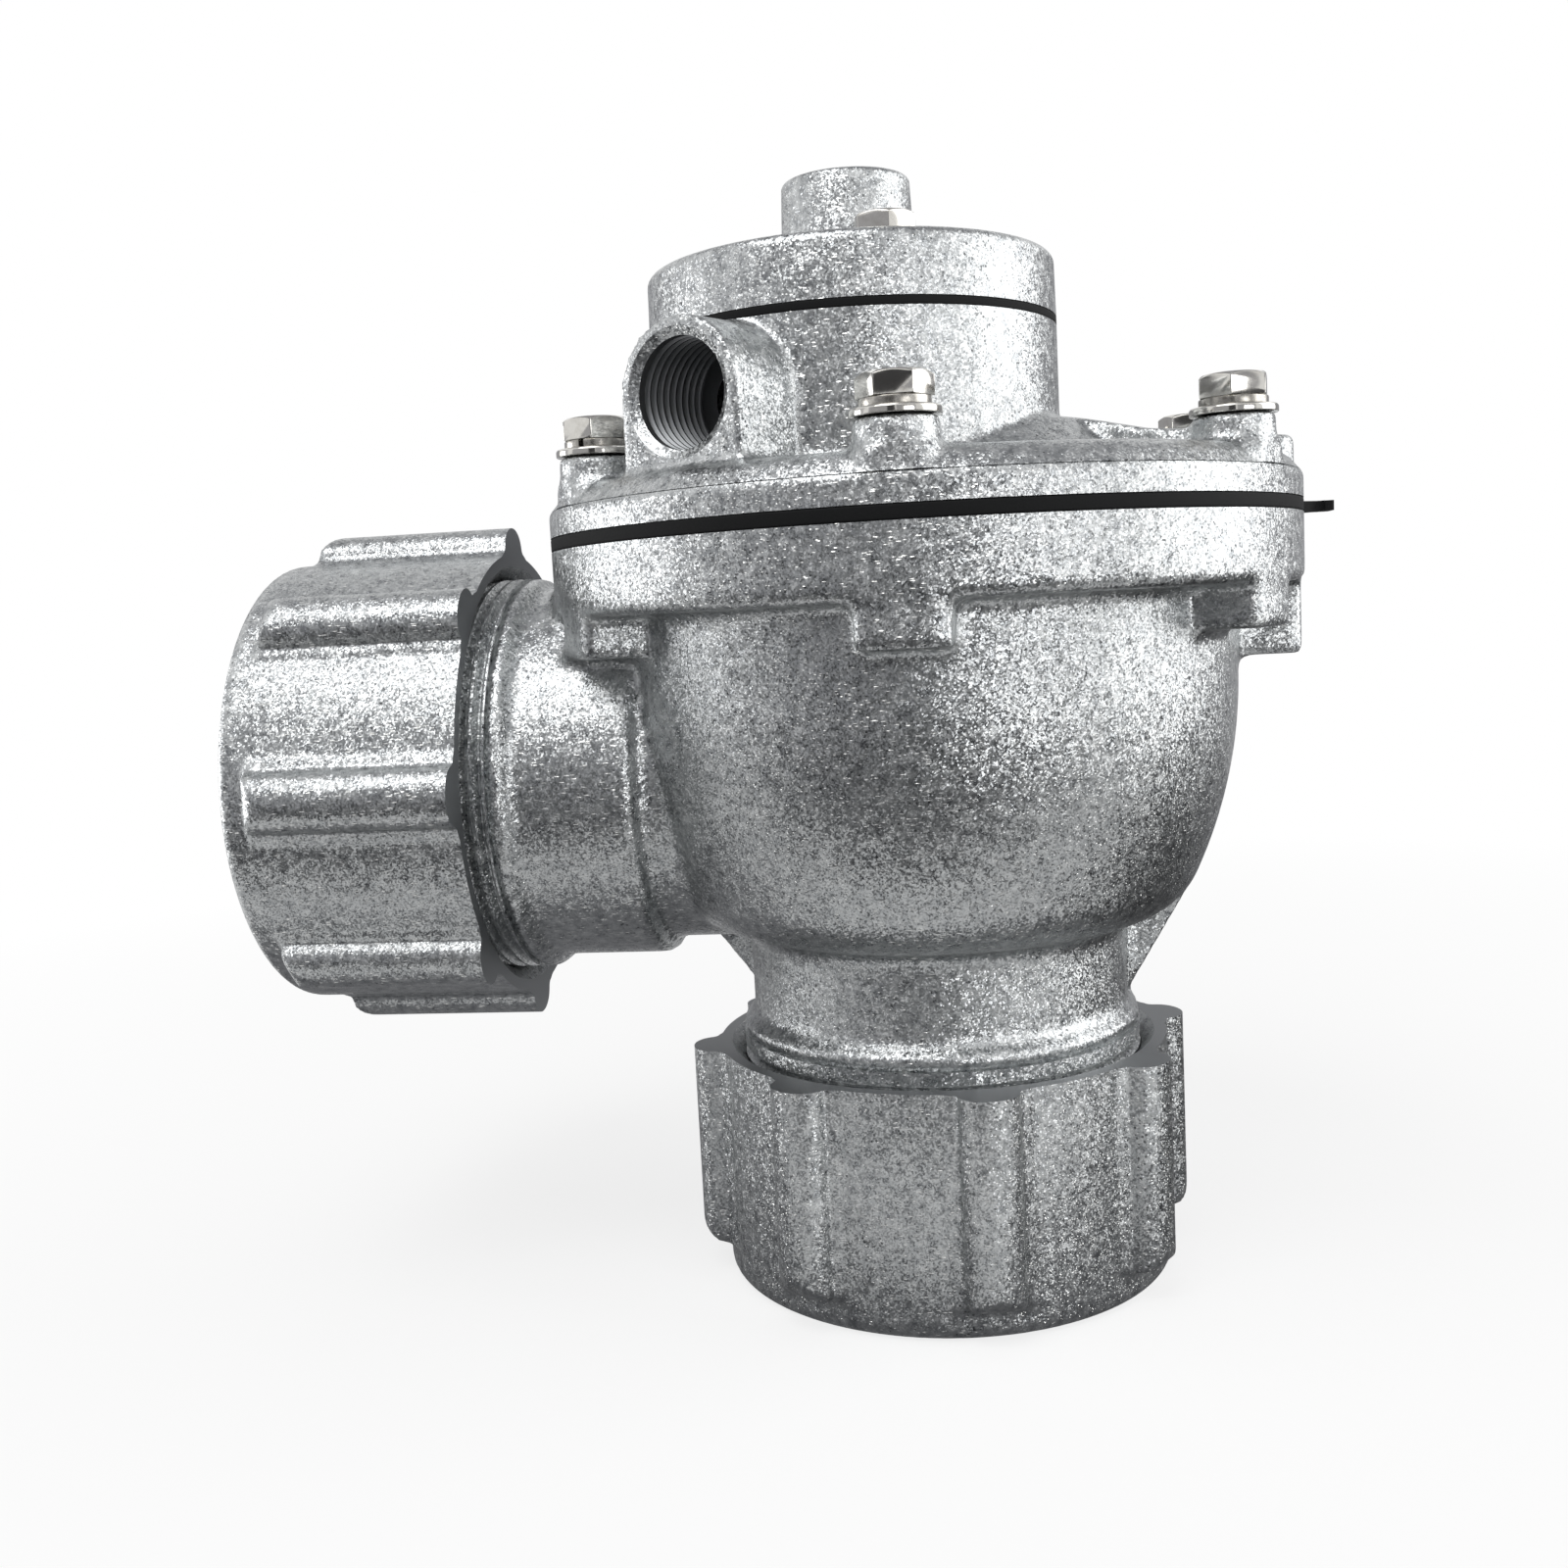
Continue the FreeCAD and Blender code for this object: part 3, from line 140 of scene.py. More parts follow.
def math_node(tree: Tree, operation: str, first, second) -> Socket:
    """What a Math node makes of two values."""
    return add_node(tree, "Math", {"operation": operation}, in_0=first, in_1=second).outputs[0]


def vector_node(tree: Tree, operation: str, first, **links) -> Socket:
    """What a VectorMath node makes of a vector."""
    return add_node(tree, "VectorMath", {"operation": operation}, in_0=first, **links).outputs[0]


def remap(tree: Tree, value: Socket, **ends) -> Socket:
    """A value taken from one range to another."""
    return add_node(tree, "MapRange", Value=value, **ends).outputs[0]


def bump(tree: Tree, height: Socket, strength: float, depth_mm: float, **links) -> Socket:
    """The normal that a height gives."""
    made = add_node(tree, "Bump", Height=height, Strength=strength, Distance=depth_mm * MM, **links)
    return made.outputs[0]


def two_tones(tree: Tree, value: Socket, places: Point, codes: tuple[str, str]) -> Socket:
    """Colour between two hex colours that stand at two places of a value."""
    made = add_node(tree, "ValToRGB", Fac=value)
    for element, place, code in zip(list(made.color_ramp.elements), places, codes):
        element.position = place
        element.color = linear(code)
    return made.outputs["Color"]


def overlay(tree: Tree, share: Socket, under: Socket, code: str) -> Socket:
    """A colour with a share of a hex colour laid over it."""
    kind = {"data_type": "RGBA"}
    return add_node(tree, "Mix", kind, Factor=share, in_6=under, in_7=linear(code)).outputs[2]


def metal(tree: Tree, colour, rough, **links) -> Node:
    """Shader of a bare metal."""
    parts = {"Base_Color": colour, "Metallic": 1.0, "Roughness": rough}
    return add_node(tree, "BsdfPrincipled", **parts, **links)


def clear_selection() -> None:
    """Leave edit mode and select nothing."""
    if bpy.context.object and bpy.context.object.mode != "OBJECT":
        bpy.ops.object.mode_set(mode="OBJECT")
    bpy.ops.object.select_all(action="DESELECT")


def pick(piece: Piece) -> None:
    """Make one piece the selected and active one."""
    clear_selection()
    piece.select_set(True)
    bpy.context.view_layer.objects.active = piece


def arc(start: Point, end: Point, radius: float, side: int, steps: int = 8) -> list[Point]:
    """Points of the shorter arc from start to end, both left out.

    Args:
        start: where the arc starts.
        end: where it ends.
        radius: its radius.
        side: 1 if it bulges to the left of the way, -1 if to the right.
        steps: how many straight runs stand for it.

    Returns:
        The points between the two ends.
    """
    a, b = Vector(start), Vector(end)
    chord = b - a
    left = Vector((-chord.y, chord.x)).normalized()
    drop = math.sqrt(max(radius**2 - (chord.length / 2) ** 2, 0.0))
    centre = a + chord / 2 - left * drop * side
    first, last = a - centre, b - centre
    sweep = first.angle_signed(last) * -1
    points = []
    for step in range(1, steps):
        turn = math.atan2(first.y, first.x) + sweep * step / steps
        points.append((centre.x + radius * math.cos(turn), centre.y + radius * math.sin(turn)))
    return points


def soften(corners: list[tuple], steps: int = 5) -> list[Point]:
    """Round the corners of a closed outline that come with a radius.

    Args:
        corners: points (x, y), or (x, y, radius) for one to round.
        steps: how many straight runs a round gets.

    Returns:
        The outline's points.
    """
    points = []
    for number, corner in enumerate(corners):
        here = Vector(corner[:2])
        if len(corner) == 2:
            points.append((here.x, here.y))
            continue
        before = (Vector(corners[number - 1][:2]) - here).normalized()
        after = (Vector(corners[(number + 1) % len(corners)][:2]) - here).normalized()
        half = before.angle(after) / 2
        reach = corner[2] / math.tan(half)
        start, end = here + before * reach, here + after * reach
        turns_left = (-before).cross(after) > 0
        points.append((start.x, start.y))
        points += arc(tuple(start), tuple(end), corner[2], -1 if turns_left else 1, steps)
        points.append((end.x, end.y))
    return points


def ring_of_points(name: str, places: list[Vector]) -> Piece:
    """Add a circle and set its vertices along an outline.

    Args:
        name: the piece's name.
        places: the outline's points in millimetres.

    Returns:
        The piece, a closed chain of edges.
    """
    clear_selection()
    bpy.ops.mesh.primitive_circle_add(vertices=len(places), radius=MM, fill_type="NOTHING")
    piece = bpy.context.object
    piece.name = piece.data.name = name
    for vertex, place in zip(piece.data.vertices, places):
        vertex.co = place * MM
    return piece


@contextmanager
def editing() -> Iterator[None]:
    """Edit mode with everything selected, and object mode afterwards."""
    bpy.ops.object.mode_set(mode="EDIT")
    bpy.ops.mesh.select_all(action="SELECT")
    yield
    bpy.ops.object.mode_set(mode="OBJECT")


def close_mesh(merge: float = 0.002) -> None:
    """In edit mode, merge doubles and turn every face outwards."""
    bpy.ops.mesh.select_all(action="SELECT")
    bpy.ops.mesh.remove_doubles(threshold=merge * MM)
    bpy.ops.mesh.normals_make_consistent(inside=False)


def lathe(name: str, profile: list[Point], steps: int = 160) -> Piece:
    """Spin a closed profile of (radius, height) round the Z axis.

    Args:
        name: the piece's name.
        profile: the closed profile's points in millimetres.
        steps: how many steps the turn has.

    Returns:
        The turned piece.
    """
    piece = ring_of_points(name, [Vector((radius, 0, height)) for radius, height in profile])
    with editing():
        bpy.ops.mesh.spin(steps=steps, angle=math.tau, center=(0, 0, 0), axis=(0, 0, 1))
        close_mesh()
    return piece


def cylinder(name: str, radius: float, low: float, high: float, steps: int = 48) -> Piece:
    """Turn a plain cylinder between two heights on the main axis."""
    return lathe(name, [(0, low), (radius, low), (radius, high), (0, high)], steps)


def prism(name: str, outline: list[Point], low: float, high: float) -> Piece:
    """Fill an outline in the XY plane and extrude it up.

    Args:
        name: the piece's name.
        outline: the outline's points in millimetres.
        low: height of its underside.
        high: height of its top.

    Returns:
        The extruded piece.
    """
    piece = ring_of_points(name, [Vector((x, y, low)) for x, y in outline])
    rise = {"value": (0, 0, (high - low) * MM)}
    with editing():
        bpy.ops.mesh.edge_face_add()
        bpy.ops.mesh.extrude_region_move(TRANSFORM_OT_translate=rise)
        close_mesh()
    return piece


def settle(piece: Piece, turn: Matrix | None = None, to: tuple = (0, 0, 0)) -> Piece:
    """Put a piece's turn and place into its mesh.

    Args:
        piece: the piece, its object at the origin.
        turn: a rotation about the origin.
        to: where its origin goes, in millimetres.

    Returns:
        The same piece.
    """
    pick(piece)
    piece.matrix_world = Matrix.Translation(Vector(to) * MM) @ (turn or Matrix.Identity(4))
    bpy.ops.object.transform_apply(location=True, rotation=True, scale=True)
    return piece


def twin(piece: Piece, turn: Matrix | None = None, to: tuple = (0, 0, 0)) -> Piece:
    """Copy a piece with a mesh of its own and settle the copy."""
    pick(piece)
    bpy.ops.object.duplicate(linked=False)
    return settle(bpy.context.object, turn, to)


def join(name: str, pieces: list[Piece]) -> Piece:
    """Join pieces into the first one's object under a name."""
    clear_selection()
    for piece in pieces:
        piece.select_set(True)
    bpy.context.view_layer.objects.active = pieces[0]
    bpy.ops.object.join()
    joined = bpy.context.object
    joined.name = joined.data.name = name
    return joined


def apply_modifier(piece: Piece, kind: str, **settings) -> None:
    """Add a modifier with its settings and apply it."""
    pick(piece)
    modifier = piece.modifiers.new(kind.lower(), kind)
    for name, value in settings.items():
        setattr(modifier, name, value)
    bpy.ops.object.modifier_apply(modifier=modifier.name)


def combine(piece: Piece, other: Piece, how: Cut = Cut.AWAY) -> Piece:
    """Work a second solid into a piece and remove that solid.

    Args:
        piece: the solid that stays.
        other: the solid that is used up.
        how: whether it is cut away, added, or only what both share stays.

    Returns:
        The first piece.
    """
    apply_modifier(piece, "BOOLEAN", operation=how.value, solver="MANIFOLD", object=other)
    bpy.data.objects.remove(other)
    return piece


def cast_skin(piece: Piece, grain: float, passes: int) -> Piece:
    """Melt overlapping solids into one skin with the small rounds of a die casting.

    Args:
        piece: closed solids that overlap.
        grain: voxel size in millimetres.
        passes: smoothing passes, each widening the rounds.

    Returns:
        The piece with its new skin.
    """
    apply_modifier(piece, "REMESH", mode="VOXEL", voxel_size=grain * MM)
    apply_modifier(piece, "SMOOTH", factor=0.5, iterations=passes)
    return piece


def shade(piece: Piece, angle: float = 32.0) -> None:
    """Shade smoothly across edges flatter than an angle in degrees."""
    pick(piece)
    bpy.ops.object.shade_smooth_by_angle(angle=math.radians(angle))


def thread_comb(
    first: float, last: float, pitch: float, crest: float, root: float
) -> list[Point]:
    """Profile points (radius, place) of V threads between two places, crest to crest.

    Args:
        first: where the first thread starts.
        last: where the threads must end.
        pitch: distance from thread to thread.
        crest: the crests' radius.
        root: the roots' radius.

    Returns:
        The points, in order from first to last.
    """
    section = ((crest, 0.0), (crest, 0.15), (root, 0.5), (root, 0.6), (crest, 0.95))
    points = []
    for number in range(int((last - first) / pitch)):
        start = first + pitch * number
        points += [(radius, start + pitch * share) for radius, share in section]
    points.append((crest, last))
    return points


def about(degrees: float, axis: str = "Z") -> Matrix:
    """A turn about one of the axes."""
    return Matrix.Rotation(math.radians(degrees), 4, axis)


@dataclass(frozen=True)
class Finish:
    """A finish that knows its material's name and how to build its nodes."""

    name: str

    def material(self) -> bpy.types.Material:
        """Build the material, or fetch it if it is built."""
        found = bpy.data.materials.get(self.name)
        if found:
            return found
        made = bpy.data.materials.new(self.name)
        tree = bare_tree(made)
        add_node(tree, "OutputMaterial", Surface=self.shader(tree).outputs[0])
        return made

    def shader(self, tree: Tree) -> Node:
        """Add the nodes and give back the shader."""
        raise NotImplementedError

    def dress(self, piece: Piece) -> None:
        """Give a whole piece this finish."""
        made = self.material()
        if piece.data.materials:
            for number in range(len(piece.data.materials)):
                piece.data.materials[number] = made
        else:
            piece.data.materials.append(made)


@dataclass(frozen=True)
class DieCastAluminium(Finish):
    """Raw die-cast aluminium, tumbled: sparkling grey with small pits and short bright nicks."""

    name: str = "die_cast_aluminium_tumbled"
    dark: str = "929597"
    light: str = "CCCECE"
    bright: str = "FFFFFB"
    pit: str = "3A3C3E"
    roughness: float = 0.3
    mottle_mm: float = 1.5
    sparkle_mm: float = 0.24
    sparkle_tilt: float = 0.4
    facet_mm: float = 0.9
    facet_tilt: float = 0.1
    nick_mm: float = 1.7
    nick_least: float = 0.72
    nick_lift: tuple = (-0.25, -0.1, 0.4)
    pit_mm: float = 0.7
    pit_area_mm: float = 9.0
    pit_least: float = 0.6
    pit_share: float = 0.7

    def shader(self, tree: Tree) -> Node:
        """Sparkle and facets tilt the normal; mottle, nicks and pits change the colour."""
        place = place_in_object(tree)
        mottle = noise(tree, place, self.mottle_mm, Detail=5.0, Roughness=0.7)
        colour = two_tones(tree, mottle, (0.32, 0.66), (self.dark, self.light))
        nicks = self.nicks(tree, place)
        pits = self.pits(tree, place)
        colour = overlay(tree, pits, colour, self.pit)
        colour = overlay(tree, nicks, colour, self.bright)
        low, high = self.roughness - 0.06, self.roughness + 0.1
        rough = remap(tree, mottle, From_Min=0.3, From_Max=0.7, To_Min=low, To_Max=high)
        waves = bump(tree, mottle, 0.5, 0.1)
        dents = bump(tree, pits, 0.5, 0.06, settings={"invert": True}, Normal=waves)
        tilted = self.tilt(tree, place, dents, self.sparkle_mm, self.sparkle_tilt)
        tilted = self.tilt(tree, place, tilted, self.facet_mm, self.facet_tilt)
        lifted = vector_node(tree, "SCALE", self.nick_lift, Scale=nicks)
        normal = vector_node(tree, "ADD", tilted, in_1=lifted)
        return metal(tree, colour, rough, Normal=vector_node(tree, "NORMALIZE", normal))

    def tilt(
        self, tree: Tree, place: Socket, normal: Socket, cell_mm: float, amount: float
    ) -> Socket:
        """Tilt a normal by a different amount in each small cell.

        Args:
            tree: the node tree.
            place: the place in the object.
            normal: the normal so far.
            cell_mm: size of a cell in millimetres.
            amount: the scale of the offset against the normal's length of 1.

        Returns:
            The tilted normal, its length not yet 1.
        """
        colour = cells(tree, place, cell_mm).outputs["Color"]
        centred = vector_node(tree, "SUBTRACT", colour, in_1=(0.5, 0.5, 0.5))
        offset = vector_node(tree, "SCALE", centred, Scale=amount)
        return vector_node(tree, "ADD", normal, in_1=offset)

    def nicks(self, tree: Tree, place: Socket) -> Socket:
        """Short scratches in four directions: 1 on them, 0 elsewhere."""
        size = self.nick_mm * MM
        marks = None
        for turn in ((0.3, 0.5, 0.2), (1.2, 0.1, 0.9), (0.6, 1.3, 2.1), (2.0, 0.8, 1.4)):
            stretched = add_node(
                tree, "Mapping", Vector=place, Rotation=turn, Scale=(1 / size, 9 / size, 7 / size)
            ).outputs[0]
            spots = add_node(tree, "TexVoronoi", Vector=stretched, Scale=0.75).outputs
            here = remap(tree, spots["Distance"], From_Min=0.24, From_Max=0.12)
            chosen = math_node(tree, "GREATER_THAN", spots["Color"], self.nick_least)
            here = math_node(tree, "MULTIPLY", here, chosen)
            marks = here if marks is None else math_node(tree, "MAXIMUM", marks, here)
        return marks

    def pits(self, tree: Tree, place: Socket) -> Socket:
        """Small pits in some cells of a pattern, their size changing from area to area."""
        spots = cells(tree, place, self.pit_mm).outputs
        area = noise(tree, place, self.pit_area_mm, Detail=1.0)
        size = remap(tree, area, From_Min=0.4, From_Max=0.65, To_Min=0.1, To_Max=0.3)
        here = math_node(tree, "LESS_THAN", spots["Distance"], size)
        chosen = math_node(tree, "GREATER_THAN", spots["Color"], self.pit_least)
        both = math_node(tree, "MULTIPLY", here, chosen)
        return math_node(tree, "MULTIPLY", both, self.pit_share)


@dataclass(frozen=True)
class TurnedAluminiumPaintedShade(Finish):
    """Face-turned aluminium: darker than the casting, even, with a fine grain; the darker colour is
    partly painted shade in the bores, the port thread and the nut mouths.
    """

    name: str = "turned_aluminium_with_painted_shade"
    # colour darker than the casting: partly painted shade in bores, threads and nut mouths
    colour: str = "8E9092"
    roughness: float = 0.44
    grain_mm: float = 0.35

    def shader(self, tree: Tree) -> Node:
        """Fine grain in the bump, an even colour."""
        grain = noise(tree, place_in_object(tree), self.grain_mm, Detail=3.0)
        normal = bump(tree, grain, 0.25, 0.04)
        return metal(tree, linear(self.colour), self.roughness, Normal=normal)


@dataclass(frozen=True)
class StainedMetal(Finish):
    """Metal with faint stains in colour and roughness."""

    dark: str
    light: str
    roughness: float
    stain_mm: float = 2.0
    stain_grit: float = 0.6
    tones: Point = (0.3, 0.55)
    rough_from: Point = (0.3, 0.7)
    rough_change: Point = (0.05, -0.03)

    def shader(self, tree: Tree) -> Node:
        """One noise for both the colour and the roughness."""
        place = place_in_object(tree)
        stain = noise(tree, place, self.stain_mm, Detail=4.0, Roughness=self.stain_grit)
        colour = two_tones(tree, stain, self.tones, (self.dark, self.light))
        start, end = self.rough_from
        low, high = (self.roughness + change for change in self.rough_change)
        rough = remap(tree, stain, From_Min=start, From_Max=end, To_Min=low, To_Max=high)
        return metal(tree, colour, rough)


@dataclass(frozen=True)
class NitrileRubber(Finish):
    """Moulded black nitrile rubber with a fine grain and a little dust."""

    name: str = "nitrile_rubber_moulded"
    colour: str = "0B0C0D"
    dust: str = "202123"
    roughness: float = 0.72
    sheen: float = 0.2
    grain_mm: float = 0.4

    def shader(self, tree: Tree) -> Node:
        """Dust specks in colour, grain in bump."""
        grain = noise(tree, place_in_object(tree), self.grain_mm, Detail=3.0)
        return add_node(
            tree, "BsdfPrincipled", Roughness=self.roughness, Specular_IOR_Level=self.sheen,
            Base_Color=two_tones(tree, grain, (0.66, 0.9), (self.colour, self.dust)),
            Normal=bump(tree, grain, 0.4, 0.06),
        )


CASTING = DieCastAluminium()
# turned finish, its darker colour partly painted shade
TURNED_WITH_PAINTED_SHADE = TurnedAluminiumPaintedShade()
STEEL = StainedMetal("stainless_steel_cold_headed", "C0BDB7", "D2D0CB", 0.1)
SPRING_STEEL = StainedMetal("spring_steel_ground", "77746E", "B9B6B0", 0.24)
PLATE = StainedMetal(
    "steel_zinc_plated", "9EA2A6", "C9CCCE", 0.3, stain_mm=4.0, stain_grit=0.5,
    tones=(0.35, 0.65), rough_from=(0.0, 1.0), rough_change=(-0.08, 0.12),
)
RUBBER = NitrileRubber()


def hand_over(piece: Piece, body: str, slot: Slot, *nodes: str) -> Piece:
    """Hide the CAD nodes that a piece stands for, hang it on the body that it rides on, and log its
    faces.
    """
    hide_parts(*nodes)
    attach(piece, body)
    LOG.info("%s: %d faces", piece.name, len(piece.data.polygons))
    return piece


def turn_faces(piece: Piece, finish: Finish, chosen: Callable[[Vector, Vector], bool]) -> None:
    """Give the faces that a test picks a second finish.

    Args:
        piece: the piece.
        finish: the second finish.
        chosen: a test of a face's centre in millimetres and its normal.
    """
    piece.data.materials.append(finish.material())
    number = len(piece.data.materials) - 1
    for face in piece.data.polygons:
        if chosen(face.center / MM, face.normal):
            face.material_index = number


@dataclass(frozen=True)
class Heights:
    """Heights and radii that the sub-assemblies share."""

    joint: float = 119.0
    body_top: float = 116.9
    flange_bottom: float = 106.9
    inlet: float = 81.6
    seat: float = 111.0
    pilot_face: float = 146.4
    cap_bottom: float = 147.7
    flange_radius: float = 58.0
    bolt_circle: float = 52.0
    bolt_seat: float = 130.0
    neck_radius: float = 30.1
    pilot_x: float = -8.7
    pilot_y: float = -7.5
    pilot_radius: float = 30.8


H = Heights()


def circle_places(
    count: int, radius: float, first: float = 0.0, centre: Point = (0.0, 0.0)
) -> list[Point]:
    """Places spread evenly round a circle.

    Args:
        count: how many places.
        radius: the circle's radius.
        first: degrees of the first place from the front towards +X.
        centre: the circle's centre.

    Returns:
        The places in millimetres.
    """
    turns = [math.radians(first + 360 / count * number) for number in range(count)]
    x, y = centre
    return [(x + radius * math.sin(turn), y - radius * math.cos(turn)) for turn in turns]


FLANGE_BOLTS = circle_places(6, H.bolt_circle)
CAP_BOLTS = circle_places(3, 23.9, 17.0, (H.pilot_x, H.pilot_y))
FACING_RADIUS = 70.0
FACING_DEPTH = 8.0
FLANGE_HOLE_RADIUS = 3.35


def holes(places: list[Point], radius: float, low: float, high: float) -> list[Piece]:
    """Cylinders that cut the same hole at each place."""
    return [settle(cylinder("hole", radius, low, high, 32), to=(*place, 0)) for place in places]


def on_pilot(piece: Piece) -> Piece:
    """Put a piece made on the main axis on the pilot stage's axis."""
    return settle(piece, to=(H.pilot_x, H.pilot_y, 0))


@dataclass
class BodyCasting:
    """Flange, bowl, side neck, foot neck and seat tube."""

    neck_end: float = 12.0
    thread_crest: float = 32.0
    thread_root: float = 30.9
    thread_pitch: float = 2.0
    bowl_radius: float = 48.2
    chamber_radius: float = 44.2
    side: float = 93.5
    shoulder: float = 64.0
    floor: float = 56.4
    outlet_thread_top: float = 40.9
    collar_start: float = 42.3
    thread_start: float = 61.8
    inlet_end: float = 91.8
    socket_radius: float = 24.8
    socket_depth: float = 36.0
    seat_bore: float = 21.5
    seat_outer: float = 25.0
    shoulder_step: float = 6.3
    mouth_radius: float = 29.0
    mouth_depth: float = 7.0
    lug_reach: float = 57.8
    grain: float = 0.85

    def build(self) -> None:
        """Cast the skin, machine it, and dress it."""
        parts = [self.turned_core(), self.side_neck(), *self.lugs(), self.gusset()]
        piece = cast_skin(join("body_casting", parts), self.grain, 5)
        combine(piece, cylinder("facing", FACING_RADIUS, H.body_top, H.body_top + FACING_DEPTH))
        combine(piece, self.inside())
        combine(piece, self.side_bore())
        foot = self.thread("foot_thread", self.neck_end + 1, self.outlet_thread_top - 2)
        combine(piece, foot, Cut.ADD)
        side = self.thread("side_thread", self.thread_start + 2, self.inlet_end - 1)
        combine(piece, self.to_side(side), Cut.ADD)
        shade(piece)
        CASTING.dress(piece)
        turn_faces(piece, TURNED_WITH_PAINTED_SHADE, self.is_machined)
        hand_over(piece, "valve", Slot.CASTING, "valve_body")

    def turned_core(self) -> Piece:
        """The shape round the main axis, its top left long for facing."""
        neck, bowl, under = H.neck_radius, self.bowl_radius, H.flange_bottom
        groove, thread_top = self.thread_root - 0.3, self.outlet_thread_top
        corner = (bowl - self.shoulder_step, self.shoulder)
        foot_round = (neck + 2.5, self.floor)
        profile = [(0, self.neck_end), (neck - 0.6, self.neck_end)]
        profile += [(groove, self.neck_end + 1), (groove, thread_top - 2)]
        profile += [(self.thread_crest, thread_top - 1.6), (self.thread_crest, thread_top)]
        profile += [(neck, thread_top + 1.4), (neck, self.floor - 2.5)]
        profile += arc(profile[-1], foot_round, 2.5, 1, 5) + [foot_round]
        profile += arc(foot_round, corner, 12.0, -1, 12) + [corner]
        profile += arc(corner, (bowl, self.side), 72.2, -1, 16) + [(bowl, self.side)]
        profile += [(bowl, under - 1.2)]
        profile += arc(profile[-1], (bowl + 1.2, under), 1.2, 1, 4)
        rim, top = H.flange_radius, H.body_top + 3
        profile += soften([(bowl + 1.2, under), (rim, under, 1.2), (rim, top), (0, top)])
        return lathe("core", profile, 256)

    def side_neck(self) -> Piece:
        """Throat and collar of the inlet, turned round -X."""
        profile = soften(
            [
                (0, 24),
                (H.neck_radius - 2.5, 24),
                (H.neck_radius - 2.5, self.collar_start, 0.5),
                (H.neck_radius, self.collar_start, 0.9),
                (H.neck_radius, self.thread_start - 1.4),
                (self.thread_crest, self.thread_start),
                (self.thread_crest, self.thread_start + 1.6),
                (self.thread_root - 0.3, self.thread_start + 2),
                (self.thread_root - 0.3, self.inlet_end - 1),
                (H.neck_radius - 0.6, self.inlet_end),
                (0, self.inlet_end),
            ]
        )
        return self.to_side(lathe("side_neck", profile, 224))

    def to_side(self, piece: Piece) -> Piece:
        """Turn a piece made along +Z so that it runs along the inlet."""
        return settle(piece, about(-90, "Y"), (0, 0, H.inlet))

    def lugs(self) -> list[Piece]:
        """Lugs under the bolts and the deeper one at the end."""
        made = [settle(self.lug(12.6, 6.2), about(60 * number - 90)) for number in range(6)]
        return [*made, self.lug(11.0, 11.0)]

    def lug(self, width: float, drop: float) -> Piece:
        """One lug towards +X, its sides slightly drawn in downwards."""
        half, reach = width / 2, self.lug_reach
        side = math.sqrt(reach**2 - half**2)
        turns = (-0.07, -0.035, 0, 0.035, 0.07)
        crown = [(reach * math.cos(turn), reach * math.sin(turn)) for turn in turns]
        outline = soften([(45, -half), (side, -half, 1.4), *crown, (side, half, 1.4), (45, half)])
        piece = prism("lug", outline, H.flange_bottom - drop, H.flange_bottom + 2)
        pick(piece)
        bpy.ops.object.mode_set(mode="EDIT")
        mesh = bmesh.from_edit_mesh(piece.data)
        for face in mesh.faces:
            face.select = face.normal.z < -0.9
        mesh.select_flush_mode()
        bmesh.update_edit_mesh(piece.data)
        bpy.ops.transform.resize(value=(1, 0.93, 1), center_override=(50 * MM, 0, 0))
        bpy.ops.object.mode_set(mode="OBJECT")
        return piece

    def gusset(self) -> Piece:
        """Upright plate through the foot neck, its slopes showing left and right."""
        ends = [(30.3, 41.9), (42.6, 62.5), (30, 66), (-30, 66), (-38.5, 56), (-30.1, 44.9)]
        plate = prism("gusset", [(-26, 41.9), (26, 41.9), *ends], -6.5, -1.5)
        return settle(plate, about(90, "X"))

    def inside(self) -> Piece:
        """Hollow of the bowl, seat bore and pipe socket."""
        wall = 4.0
        inner = (self.bowl_radius - self.shoulder_step - wall, self.shoulder)
        floor = self.floor + wall
        corner = (inner[0] - 8.0, floor)
        end, stop, top = self.neck_end, self.neck_end + self.socket_depth, H.body_top + 1
        profile = [(0, top), (self.chamber_radius, top), (self.chamber_radius, self.side)]
        profile += arc((self.chamber_radius, self.side), inner, 68.2, 1, 12) + [inner]
        profile += arc(inner, corner, 8.8, 1, 6) + [corner, (self.seat_outer, floor)]
        profile += [(self.seat_outer, H.seat), (self.seat_bore, H.seat), (self.seat_bore, stop)]
        profile += [(self.socket_radius, stop), (self.socket_radius, end + self.mouth_depth)]
        profile += [(self.mouth_radius, end), (self.mouth_radius, end - 1), (0, end - 1)]
        return lathe("inside", profile, 160)

    def side_bore(self) -> Piece:
        """Bore and pipe socket of the inlet."""
        end, stop = self.inlet_end, self.inlet_end - self.socket_depth
        profile = [(0, 29), (22.5, 29), (22.5, stop), (self.socket_radius, stop)]
        profile += [(self.socket_radius, end - self.mouth_depth), (self.mouth_radius, end)]
        profile += [(self.mouth_radius, end + 1), (0, end + 1)]
        return self.to_side(lathe("side_bore", profile, 160))

    def thread(self, name: str, first: float, last: float) -> Piece:
        """Thread of a neck between two heights, made along +Z."""
        comb = thread_comb(first, last, self.thread_pitch, self.thread_crest, self.thread_root)
        inner = self.thread_root - 1
        return lathe(name, [(inner, last), (inner, first), *comb], 192)

    def is_machined(self, centre: Vector, normal: Vector) -> bool:
        """Whether a face is on the top face, the seat or a bore."""
        if normal.z > 0.99 and centre.z > H.seat - 0.1:
            return True
        across = math.hypot(centre.x, centre.y)
        return across < self.socket_radius + 0.1 and centre.z < 60


